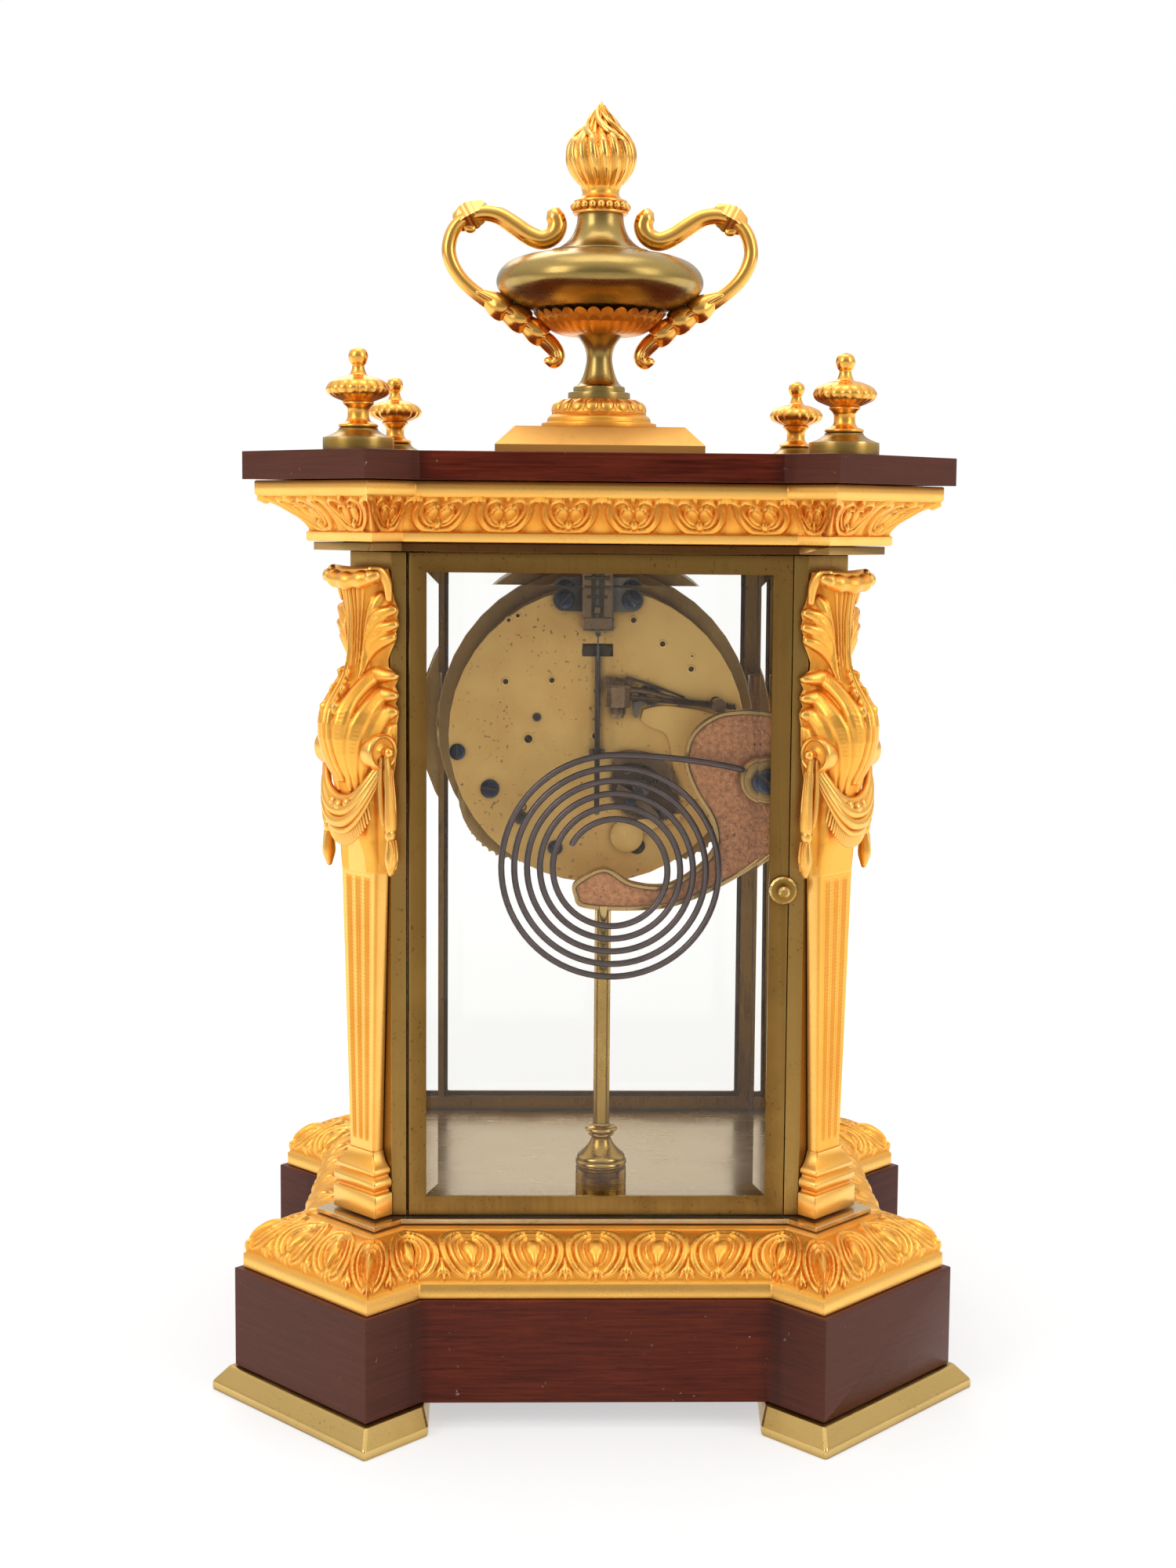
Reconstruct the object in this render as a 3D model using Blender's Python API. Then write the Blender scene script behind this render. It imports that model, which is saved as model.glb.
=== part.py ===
"""Crystal mantel clock with a gilt urn, corner consoles and a striking movement.

The row frame has +Z up and its origin under the middle of the feet. The dial
looks toward -Y, and the rear door, with the gong behind it, looks toward +Y.
"""
import math

import bmesh
import bpy
from mathutils import Vector

MM = 0.001
DIAGONAL = math.sqrt(0.5)

# Clearances
SEAT = 0.3 * MM            # gap between pieces that rest on each other
RUNNING = 0.35 * MM        # gap round an arbor in its hole
OVERRUN = 2.0 * MM         # how far a cutter passes its work

# Case
CASE_HALF_WIDTH = 83.3 * MM
CASE_HALF_DEPTH = 67.5 * MM
CASE_HEIGHT = 222.6 * MM
CHAMFER_LEG = 14.8 * MM
POST_FLAT = 4.9 * MM
POST_WALL = 6.0 * MM
FRAME_WIDTH = 6.3 * MM
FRAME_DEPTH = 5.5 * MM
FRAME_LIP = 1.6 * MM
LIP_DEPTH = 1.2 * MM
GLASS_THICKNESS = 3.5 * MM
GLASS_BEVEL = 5.2 * MM
BEVEL_DEPTH = 1.3 * MM
HINGE_EDGE = 1.4 * MM
PIN_RADIUS = 0.7 * MM
PIN_REACH = 1.3 * MM
KNOB_INSET = 1.7 * MM
KNOB_SHAFT = 0.8 * MM
KNOB_DISC = 4.7 * MM
KNOB_THICKNESS = 1.1 * MM
KNOB_BALL = 2.2 * MM
LATCH_REACH = 4.0 * MM
LATCH_WIDTH = 1.6 * MM
LATCH_THICKNESS = 1.0 * MM
LATCH_PLAY = 1.0 * MM              # behind the post's wall

# Plan of the base and cornice: a rectangle with four diagonal corner piers
PIER_REACH = 31.5 * MM
PIER_HALF_WIDTH = 34.9 * MM
WALL_BEYOND_FACE = 7.9 * MM
FOOT_MARGIN = 5.7 * MM
FOOT_LEDGE = 1.5 * MM
PLATE_INSET = 19.8 * MM
SLAB_INSET = 3.1 * MM

# Heights of the layers
FOOT_HEIGHT = 8.4 * MM
FOOT_EDGE = 3.0 * MM
PLINTH_HEIGHT = 34.2 * MM
MOULDING_HEIGHT = 18.8 * MM
MOULDING_FILLET = 4.9 * MM
MOULDING_INSET = 2.2 * MM
MOULDING_QUIRK = 0.6 * MM
MOULDING_CAP = 1.2 * MM
PLATE_MARGIN = 1.2 * MM
LOWER_PLATE = 1.7 * MM
TOP_PLATE = 2.6 * MM
CORNICE_HEIGHT = 19.7 * MM
CORNICE_FILLET = 4.8 * MM
CORNICE_INSET = 3.0 * MM
CORNICE_FOOT = 3.0 * MM
CORNICE_FLARE = 1.6                # power of the hollow curve, with no unit
SLAB_HEIGHT = 9.2 * MM

# Urn
URN_PLATE_HALF = 35.9 * MM
URN_PLATE_EDGE = 4.0 * MM
URN_PLATE_CHAMFER = 6.2 * MM
SOCLE_RADIUS = 20.5 * MM
SOCLE_HEIGHT = 10.4 * MM
STEM_RADIUS = 11.0 * MM
STEM_WAIST = 4.3 * MM
STEM_HEIGHT = 22.8 * MM
BOWL_RADIUS = 36.7 * MM
BOWL_HEIGHT = 30.6 * MM
CALYX_RADIUS = 22.2 * MM
CALYX_HEIGHT = 7.9 * MM
LEDGE_RADIUS = 17.9 * MM
LEDGE_HEIGHT = 1.9 * MM
NECK_HEIGHT = 9.7 * MM
NECK_RADIUS = 7.9 * MM
COLLAR_RADIUS = 10.6 * MM
COLLAR_HEIGHT = 6.8 * MM
FLAME_RADIUS = 12.4 * MM
FLAME_HEIGHT = 31.8 * MM
FLAME_FLUTES = 5
HANDLE_ARM = 2.7 * MM
HANDLE_LOOP = 2.0 * MM
HANDLE_COLLAR = 4.3 * MM
HANDLE_SPAN = 18.0 * MM
URN_SIDES = 22

# Corner finials
FINIAL_HEIGHT = 33.0 * MM
FINIAL_BASE_RADIUS = 11.5 * MM
FINIAL_BULB_RADIUS = 10.2 * MM
FINIAL_STEM_RADIUS = 3.5 * MM
FINIAL_BALL_RADIUS = 3.1 * MM
FINIAL_OUTSET_X = 2.6 * MM         # outward from the middle of the post's chamfer
FINIAL_OUTSET_Y = 13.1 * MM
FINIAL_SIDES = 14

# Corner consoles
CONSOLE_FOOT = 21.2 * MM           # block and mouldings under the shaft
CONSOLE_BLOCK_HALF = 11.0 * MM
CONSOLE_DEPTH = 7.7 * MM
SHAFT_FOOT_HALF = 6.2 * MM
SHAFT_FOOT_DEPTH = 4.5 * MM
SHAFT_HEAD_HALF = 9.4 * MM
SHAFT_HEAD_DEPTH = 5.6 * MM
SCROLL_HEIGHT = 102.0 * MM
CONSOLE_HEADROOM = 1.4 * MM        # under the seat of the top plate
SHAFT_HEIGHT = CASE_HEIGHT - CONSOLE_FOOT - SCROLL_HEIGHT - CONSOLE_HEADROOM
SCROLL_REACH = 19.0 * MM
SCROLL_HALF = 10.0 * MM
WING_HALF = 14.0 * MM
WING_DEPTH = 3.4 * MM
VOLUTE_RADIUS = 6.0 * MM
VOLUTE_HALF = 14.2 * MM
VOLUTE_SIDES = 14
PIN_BALL = 1.9 * MM
TAIL_LENGTH = 40.0 * MM
TAIL_WIDTH = 5.0 * MM
TAIL_DEPTH = 2.6 * MM

# Movement
MOVEMENT_RADIUS = 52.5 * MM
MOVEMENT_REAR = 16.0 * MM          # rear face of the rear plate, from the middle
MOVEMENT_PLATE = 2.5 * MM
PLATE_GAP = 35.0 * MM
PLATE_SIDES = 42
PILLAR_RADIUS = 2.6 * MM
PILLAR_CIRCLE = 46.5 * MM
BARREL_SPACING = 26.0 * MM
BARREL_DROP = 25.6 * MM
BARREL_RADIUS = 19.5 * MM
BARREL_LENGTH = 18.8 * MM
BARREL_SHAKE = 1.2 * MM
GREAT_WHEEL_RADIUS = 23.4 * MM
GREAT_WHEEL_TEETH = 48
WHEEL_THICKNESS = 1.6 * MM
TOOTH_DEPTH = 1.3 * MM
LOBE_MARGIN = 1.6 * MM
ARBOR_RADIUS = 1.5 * MM
PIVOT_RADIUS = 0.9 * MM
KEY_HOLE_RADIUS = 1.9 * MM
CENTRE_WHEEL_RADIUS = 14.0 * MM
CENTRE_WHEEL_TEETH = 30
ESCAPE_RADIUS = 8.5 * MM
ESCAPE_TEETH = 20
ESCAPE_DROP = 14.5 * MM
ESCAPE_INSET = 5.0 * MM
PALLET_HEIGHT = 30.4 * MM          # pallet arbor above the dial centre
PALLET_CLEARANCE = 1.0 * MM
PALLET_WIDTH = 1.8 * MM
SLOT_HALF = 5.4 * MM
SLOT_HEIGHT = 4.5 * MM
CRUTCH_LENGTH = 36.0 * MM
CRUTCH_STAND = 1.2 * MM
CRUTCH_WIDTH = 1.4 * MM
CRUTCH_THICKNESS = 1.0 * MM
FORK_HALF = 2.8 * MM
FORK_PLAY = 0.6 * MM
FORK_HEIGHT = 2.0 * MM
BRACKET_HALF = 15.9 * MM
BRACKET_HEIGHT = 8.8 * MM
BRACKET_THICKNESS = 1.6 * MM
BLOCK_HALF = 5.3 * MM
BLOCK_HEIGHT = 15.0 * MM
BLOCK_DEPTH = 8.0 * MM
BRACKET_RISE = 48.3 * MM           # bracket centre above the dial centre
SPRING_THICKNESS = 0.5 * MM
SPRING_WIDTH = 3.0 * MM
SPRING_LENGTH = 10.2 * MM          # below the point where it bends
SPRING_FREE = 0.7 * MM
SPRING_LAP = 1.8 * MM
LEADER_RADIUS = 0.95 * MM
LEADER_LENGTH = 54.0 * MM

# Dial side
BEZEL_RADIUS = 58.7 * MM
BEZEL_HEADROOM = 6.5 * MM          # under the top of the case
BEZEL_WALL = 2.6 * MM
BEZEL_LENGTH = 20.0 * MM
BEZEL_FLANGE = 1.6 * MM
BEZEL_LIP = 7.4 * MM
BEZEL_SEAT = 8.2 * MM              # width of its flange on the front plate
DIAL_SHAKE = 4.1 * MM              # round the dial's edge
DIAL_RADIUS = BEZEL_RADIUS - BEZEL_WALL - DIAL_SHAKE
DIAL_THICKNESS = 1.5 * MM
DIAL_STAND = 7.0 * MM              # front plate to the back of the dial
DIAL_FOOT = 1.6 * MM
DIAL_FOOT_INSET = 14.4 * MM        # from the dial's edge
MINUTE_TRACK = 11.0 * MM           # minute hand's tip to the dial's edge
MINUTE_LENGTH = DIAL_RADIUS - MINUTE_TRACK
HOUR_SHORTFALL = 13.5 * MM         # hour hand shorter than the minute hand
HOUR_LENGTH = MINUTE_LENGTH - HOUR_SHORTFALL
HAND_THICKNESS = 0.8 * MM
HAND_GAP = 1.2 * MM
HOUR_PIPE = 1.0 * MM
MINUTE_TILT = -62.0                # degrees from twelve, clockwise on the dial
HOUR_TILT = 54.5
STRAP_RISE = 14.0 * MM
STRAP_HEIGHT = 8.0 * MM
STRAP_THICKNESS = 4.0 * MM

# Gong and strike
GONG_PLANE = 46.0 * MM             # depth of the coil's plane from the middle
GONG_ROD = 1.09 * MM
GONG_START_RADIUS = 39.4 * MM
GONG_PITCH = 4.4 * MM
GONG_TURNS = 5.16
GONG_LOOP_POINTS = 24
GONG_LEAD_POINTS = 8
GONG_CENTRE_DROP = 42.9 * MM       # below the dial centre
CASTING_THICKNESS = 4.7 * MM
BOSS_RADIUS = 8.0 * MM
BOSS_LENGTH = 5.4 * MM
BOSS_ROOM = 26.7 * MM              # boss's middle to the side of the case
BOSS_REACH = 51.1 * MM             # boss's middle to the coil's middle
BOSS_DROP = 12.1 * MM
SCREW_HEAD = 4.3 * MM
SCREW_HEAD_HEIGHT = 2.6 * MM
SCREW_SHANK = 2.0 * MM
SCREW_SLIT = 1.2 * MM
GONG_POST_OFFSET = 3.3 * MM        # from the coil's middle
GONG_POST_RADIUS = 2.8 * MM
GONG_FOOT_RADIUS = 8.8 * MM
HAMMER_PIVOT_X = -42.0 * MM
HAMMER_PIVOT_RISE = 12.4 * MM
HAMMER_HEAD_RADIUS = 4.4 * MM
HAMMER_HEAD_HEIGHT = 7.0 * MM
HAMMER_TIP = 3.8 * MM
HAMMER_ARM = 1.0 * MM
HAMMER_HUB = 2.4 * MM
HAMMER_X = -6.5 * MM
HAMMER_RISE = 16.5 * MM
HAMMER_PLANE = 30.0 * MM

# Levels worked out from the heights
PLINTH_Z = FOOT_HEIGHT + SEAT
MOULDING_Z = PLINTH_Z + PLINTH_HEIGHT + SEAT
LOWER_PLATE_Z = MOULDING_Z + MOULDING_HEIGHT + SEAT
CASE_Z = LOWER_PLATE_Z + LOWER_PLATE + SEAT
CASE_TOP_Z = CASE_Z + CASE_HEIGHT
TOP_PLATE_Z = CASE_TOP_Z + SEAT
CORNICE_Z = TOP_PLATE_Z + TOP_PLATE + SEAT
SLAB_Z = CORNICE_Z + CORNICE_HEIGHT + SEAT
CROWN_Z = SLAB_Z + SLAB_HEIGHT + SEAT
DIAL_Z = CASE_TOP_Z - BEZEL_RADIUS - BEZEL_HEADROOM

# Plan places worked out from the case
DOOR_HALF = CASE_HALF_WIDTH - CHAMFER_LEG - POST_FLAT - SEAT
SIDE_HALF = CASE_HALF_DEPTH - CHAMFER_LEG - POST_FLAT - SEAT
CHAMFER_X = CASE_HALF_WIDTH - CHAMFER_LEG / 2
CHAMFER_Y = CASE_HALF_DEPTH - CHAMFER_LEG / 2
HINGE_X = DOOR_HALF - HINGE_EDGE
HINGE_Y = CASE_HALF_DEPTH - HINGE_EDGE
KNOB_X = DOOR_HALF - KNOB_INSET
KNOB_Z = CASE_Z + CASE_HEIGHT / 2
BOSS_X = BOSS_ROOM - CASE_HALF_WIDTH
GONG_CENTRE_X = BOSS_X + BOSS_REACH
GONG_POST_X = GONG_CENTRE_X + GONG_POST_OFFSET
FINIAL_X = CHAMFER_X + FINIAL_OUTSET_X
FINIAL_Y = CHAMFER_Y + FINIAL_OUTSET_Y
FRONT_PLATE_Y = MOVEMENT_REAR - 2 * MOVEMENT_PLATE - PLATE_GAP
DIAL_Y = FRONT_PLATE_Y - DIAL_STAND - DIAL_THICKNESS
REAR_INSIDE = MOVEMENT_REAR - MOVEMENT_PLATE
FRONT_INSIDE = FRONT_PLATE_Y + MOVEMENT_PLATE
CORNERS = {
    "front_left": (-1, -1),
    "front_right": (1, -1),
    "back_left": (-1, 1),
    "back_right": (1, 1),
}

FINISHES = {
    "gilt": ((0.80, 0.43, 0.10), 0.32, 1.0),
    "brass": ((0.42, 0.30, 0.12), 0.38, 1.0),
    "foot_brass": ((0.62, 0.43, 0.18), 0.30, 1.0),
    "wood": ((0.08, 0.022, 0.016), 0.22, 0.0),
    "glass": ((0.95, 0.97, 0.96), 0.02, 0.0),
    "plate_brass": ((0.68, 0.45, 0.16), 0.36, 1.0),
    "steel": ((0.11, 0.09, 0.085), 0.42, 1.0),
    "bright_steel": ((0.40, 0.39, 0.38), 0.30, 1.0),
    "blued": ((0.03, 0.035, 0.06), 0.30, 1.0),
    "copper": ((0.42, 0.22, 0.14), 0.55, 0.8),
    "enamel": ((0.85, 0.83, 0.76), 0.18, 0.0),
}


def finish_for(name, kind):
    """Give one node its own material in the named finish."""
    colour, roughness, metallic = FINISHES[kind]
    material = bpy.data.materials.new(name + "_finish")
    material.use_nodes = True
    shader = material.node_tree.nodes["Principled BSDF"]
    shader.inputs["Base Color"].default_value = (*colour, 1.0)
    shader.inputs["Roughness"].default_value = roughness
    shader.inputs["Metallic"].default_value = metallic
    if kind == "glass":
        shader.inputs["Transmission Weight"].default_value = 1.0
    return material


def add_mesh(name, mesh_data, kind, pivot=None, smooth=True):
    """Turn a bmesh into an object, with its origin on pivot if it moves."""
    bmesh.ops.recalc_face_normals(mesh_data, faces=mesh_data.faces)
    if pivot is not None:
        bmesh.ops.translate(mesh_data, verts=mesh_data.verts, vec=-Vector(pivot))
    mesh = bpy.data.meshes.new(name)
    mesh_data.to_mesh(mesh)
    mesh_data.free()
    if smooth:
        mesh.shade_smooth()
        mesh.set_sharp_from_angle(angle=math.radians(32))
    mesh.materials.append(finish_for(name, kind))
    piece = bpy.data.objects.new(name, mesh)
    if pivot is not None:
        piece.location = pivot
    bpy.context.scene.collection.objects.link(piece)
    return piece


def loft(name, rings, kind, pivot=None, smooth=True):
    """Skin a closed body through rings that all have as many points."""
    body = bmesh.new()
    rows = [[body.verts.new(point) for point in ring] for ring in rings]
    for lower, upper in zip(rows, rows[1:]):
        for index, vertex in enumerate(lower):
            after = (index + 1) % len(lower)
            body.faces.new((vertex, lower[after], upper[after], upper[index]))
    body.faces.new(rows[0][::-1])
    body.faces.new(rows[-1])
    return add_mesh(name, body, kind, pivot, smooth)


def circle(sides, radius, turn=0.0):
    """Points round a circle, as pairs."""
    angles = [turn + 2 * math.pi * step / sides for step in range(sides)]
    return [(radius * math.cos(angle), radius * math.sin(angle)) for angle in angles]


def upright(name, profile, kind, centre=(0, 0), sides=URN_SIDES, pivot=None):
    """Turn a profile of radius and height round an upright axis."""
    rings = []
    for radius, height in profile:
        rings.append([(centre[0] + x, centre[1] + y, height) for x, y in circle(sides, radius)])
    return loft(name, rings, kind, pivot)


def arbor(name, profile, kind, centre, sides=16, pivot=None):
    """Turn a profile of radius and depth round an axis along Y, at X and Z of centre."""
    rings = []
    for radius, depth in profile:
        rings.append([(centre[0] + x, depth, centre[1] + z) for x, z in circle(sides, radius)])
    return loft(name, rings, kind, pivot)


def slab(name, outline, low, high, kind, pivot=None):
    """Extrude an outline in plan between two heights."""
    rings = [[(x, y, level) for x, y in outline] for level in (low, high)]
    return loft(name, rings, kind, pivot, smooth=False)


def sheet(name, outline, back, front, kind, pivot=None):
    """Extrude an outline in elevation between two depths."""
    rings = [[(x, depth, z) for x, z in outline] for depth in (back, front)]
    return loft(name, rings, kind, pivot, smooth=False)


def box(name, low, high, kind, pivot=None):
    """A rectangular block between two corners."""
    outline = [(low[0], low[1]), (high[0], low[1]), (high[0], high[1]), (low[0], high[1])]
    return slab(name, outline, low[2], high[2], kind, pivot)


def hide(tool):
    """Mark an object as a cutter or an added shape, which isn't a node."""
    tool.hide_render = True
    tool.display_type = "WIRE"
    return tool


def combine(piece, tools, operation):
    """Join shapes to a piece or cut them from it."""
    for tool in tools:
        hide(tool)
        modifier = piece.modifiers.new(tool.name, "BOOLEAN")
        modifier.operation = operation
        modifier.solver = "EXACT"
        modifier.object = tool
    return piece


def bore(piece, places, radius, depth_from, depth_to):
    """Cut round holes along Y through a piece at the places X and Z."""
    tools = []
    for number, centre in enumerate(places):
        profile = [(radius, depth_from), (radius, depth_to)]
        tool = arbor(f"{piece.name}_hole_{number}_{radius / MM:.1f}", profile, "steel", centre)
        tools.append(tool)
    return combine(piece, tools, "DIFFERENCE")


def pier_plan(offset):
    """The plan outline of base and cornice, moved outward by offset."""
    face_x = CHAMFER_X + (PIER_REACH + offset) * DIAGONAL
    face_y = CHAMFER_Y + (PIER_REACH + offset) * DIAGONAL
    half = (PIER_HALF_WIDTH + offset) * DIAGONAL
    wall_x = CHAMFER_X + PIER_REACH * DIAGONAL + WALL_BEYOND_FACE + offset
    wall_y = CHAMFER_Y + PIER_REACH * DIAGONAL + WALL_BEYOND_FACE + offset
    run_x = face_x + half - wall_x
    run_y = face_y + half - wall_y
    quarter = [
        (wall_x, face_y - half - run_x),
        (face_x + half, face_y - half),
        (face_x - half, face_y + half),
        (face_x - half - run_y, wall_y),
    ]
    outline = list(quarter)
    outline += [(-x, y) for x, y in reversed(quarter)]
    outline += [(-x, -y) for x, y in quarter]
    outline += [(x, -y) for x, y in reversed(quarter)]
    return outline


def layer(name, levels, kind):
    """Loft the plan outline through pairs of offset and height."""
    rings = [[(x, y, height) for x, y in pier_plan(offset)] for offset, height in levels]
    return loft(name, rings, kind, smooth=False)


def make_feet():
    """One bevelled brass foot under each corner pier."""
    levels = [
        (FOOT_MARGIN, 0.0),
        (FOOT_MARGIN, FOOT_EDGE),
        (FOOT_LEDGE, FOOT_HEIGHT),
    ]
    for corner, (side_x, side_y) in CORNERS.items():
        rings = []
        for offset, height in levels:
            points = pier_plan(offset)[:4]
            points.append((pier_plan(0)[3][0], pier_plan(0)[0][1]))
            rings.append([(side_x * x, side_y * y, height) for x, y in points])
        loft("foot_" + corner, rings, "foot_brass", smooth=False)


def make_base():
    """Mahogany plinth, gilt moulding and the brass floor plate of the case."""
    layer("base_plinth", [(0.0, PLINTH_Z), (0.0, PLINTH_Z + PLINTH_HEIGHT)], "wood")
    ovolo_foot = -MOULDING_INSET - MOULDING_QUIRK
    ovolo_head = -PLATE_INSET + PLATE_MARGIN
    rise = MOULDING_HEIGHT - MOULDING_FILLET - MOULDING_CAP
    levels = [
        (-MOULDING_INSET, MOULDING_Z),
        (-MOULDING_INSET, MOULDING_Z + MOULDING_FILLET),
    ]
    steps = 6
    for step in range(steps + 1):
        angle = math.pi / 2 * step / steps
        offset = ovolo_head + (ovolo_foot - ovolo_head) * math.cos(angle)
        levels.append((offset, MOULDING_Z + MOULDING_FILLET + SEAT + rise * math.sin(angle)))
    levels.append((ovolo_head, MOULDING_Z + MOULDING_HEIGHT))
    layer("base_moulding", levels, "gilt")
    levels = [(-PLATE_INSET, LOWER_PLATE_Z), (-PLATE_INSET, LOWER_PLATE_Z + LOWER_PLATE)]
    floor = layer("lower_plate", levels, "brass")
    hinge_holes(floor, LOWER_PLATE_Z - OVERRUN, CASE_Z + OVERRUN)


def make_top():
    """Brass plate, gilt leaf cornice and mahogany slab."""
    levels = [(-PLATE_INSET, TOP_PLATE_Z), (-PLATE_INSET, TOP_PLATE_Z + TOP_PLATE)]
    lid = layer("top_plate", levels, "brass")
    hinge_holes(lid, CASE_TOP_Z - OVERRUN, TOP_PLATE_Z + PIN_REACH + SEAT)
    inner = -PLATE_INSET + PLATE_MARGIN
    outer = -SLAB_INSET - CORNICE_INSET - MOULDING_QUIRK
    band = CORNICE_HEIGHT - CORNICE_FOOT - CORNICE_FILLET
    levels = [(inner, CORNICE_Z), (inner, CORNICE_Z + CORNICE_FOOT)]
    steps = 7
    for step in range(steps + 1):
        share = step / steps
        offset = inner + (outer - inner) * share ** CORNICE_FLARE
        level = CORNICE_Z + CORNICE_FOOT + SEAT + (band - 2 * SEAT) * share
        levels.append((offset, level))
    fillet = -SLAB_INSET - CORNICE_INSET
    levels.append((fillet, CORNICE_Z + CORNICE_FOOT + band))
    levels.append((fillet, CORNICE_Z + CORNICE_HEIGHT))
    layer("cornice_moulding", levels, "gilt")
    layer("top_slab", [(-SLAB_INSET, SLAB_Z), (-SLAB_INSET, SLAB_Z + SLAB_HEIGHT)], "wood")


def hinge_holes(plate, low, high):
    """Sink the holes that the pivot pins of both doors turn in."""
    tools = []
    for side in (1, -1):
        profile = [(PIN_RADIUS + SEAT, low), (PIN_RADIUS + SEAT, high)]
        name = f"{plate.name}_pivot_{side}"
        tools.append(upright(name, profile, "steel", (side * HINGE_X, side * HINGE_Y), 12))
    combine(plate, tools, "DIFFERENCE")


def make_posts():
    """Four corner posts, each with a flat beside the door and a broad chamfer."""
    post_x = CASE_HALF_WIDTH - CHAMFER_LEG - POST_FLAT
    post_y = CASE_HALF_DEPTH - CHAMFER_LEG - POST_FLAT
    diagonal_sum = CASE_HALF_WIDTH + CASE_HALF_DEPTH - CHAMFER_LEG - POST_WALL / DIAGONAL
    quarter = [
        (post_x, CASE_HALF_DEPTH),
        (post_x, CASE_HALF_DEPTH - POST_WALL),
        (diagonal_sum - (CASE_HALF_DEPTH - POST_WALL), CASE_HALF_DEPTH - POST_WALL),
        (CASE_HALF_WIDTH - POST_WALL, diagonal_sum - (CASE_HALF_WIDTH - POST_WALL)),
        (CASE_HALF_WIDTH - POST_WALL, post_y),
        (CASE_HALF_WIDTH, post_y),
        (CASE_HALF_WIDTH, CASE_HALF_DEPTH - CHAMFER_LEG),
        (CASE_HALF_WIDTH - CHAMFER_LEG, CASE_HALF_DEPTH),
    ]
    for corner, (side_x, side_y) in CORNERS.items():
        outline = [(side_x * x, side_y * y) for x, y in quarter]
        slab("corner_post_" + corner, outline, CASE_Z, CASE_TOP_Z, "brass")


def framed_glass(frame_name, glass_name, half, place, pivot=None):
    """A mitred brass frame, rebated from inside, and its bevelled glass.

    place maps along, depth from the outer face and height to a world point.
    """
    low = CASE_Z + SEAT
    high = CASE_TOP_Z - SEAT
    section = [
        (0.0, 0.0),
        (0.0, FRAME_DEPTH),
        (FRAME_WIDTH - FRAME_LIP, FRAME_DEPTH),
        (FRAME_WIDTH - FRAME_LIP, LIP_DEPTH),
        (FRAME_WIDTH, LIP_DEPTH),
        (FRAME_WIDTH, 0.0),
    ]
    body = bmesh.new()
    rings = []
    for side_a, side_z in ((-1, -1), (1, -1), (1, 1), (-1, 1)):
        ring = []
        for inset, depth in section:
            height = low + inset if side_z < 0 else high - inset
            ring.append(body.verts.new(place(side_a * (half - inset), depth, height)))
        rings.append(ring)
    for number, ring in enumerate(rings):
        after = rings[(number + 1) % len(rings)]
        for index in range(len(section)):
            follow = (index + 1) % len(section)
            body.faces.new((ring[index], ring[follow], after[follow], after[index]))
    frame = add_mesh(frame_name, body, "brass", pivot, smooth=False)

    rim = FRAME_WIDTH - FRAME_LIP + SEAT
    face = LIP_DEPTH + SEAT
    edges = [
        (rim, face + GLASS_THICKNESS),
        (rim, face + BEVEL_DEPTH),
        (rim + GLASS_BEVEL, face),
    ]
    rings = []
    for inset, depth in edges:
        along = half - inset
        rings.append([
            place(-along, depth, low + inset),
            place(along, depth, low + inset),
            place(along, depth, high - inset),
            place(-along, depth, high - inset),
        ])
    glass = loft(glass_name, rings, "glass", pivot, smooth=False)
    return frame, glass


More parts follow.
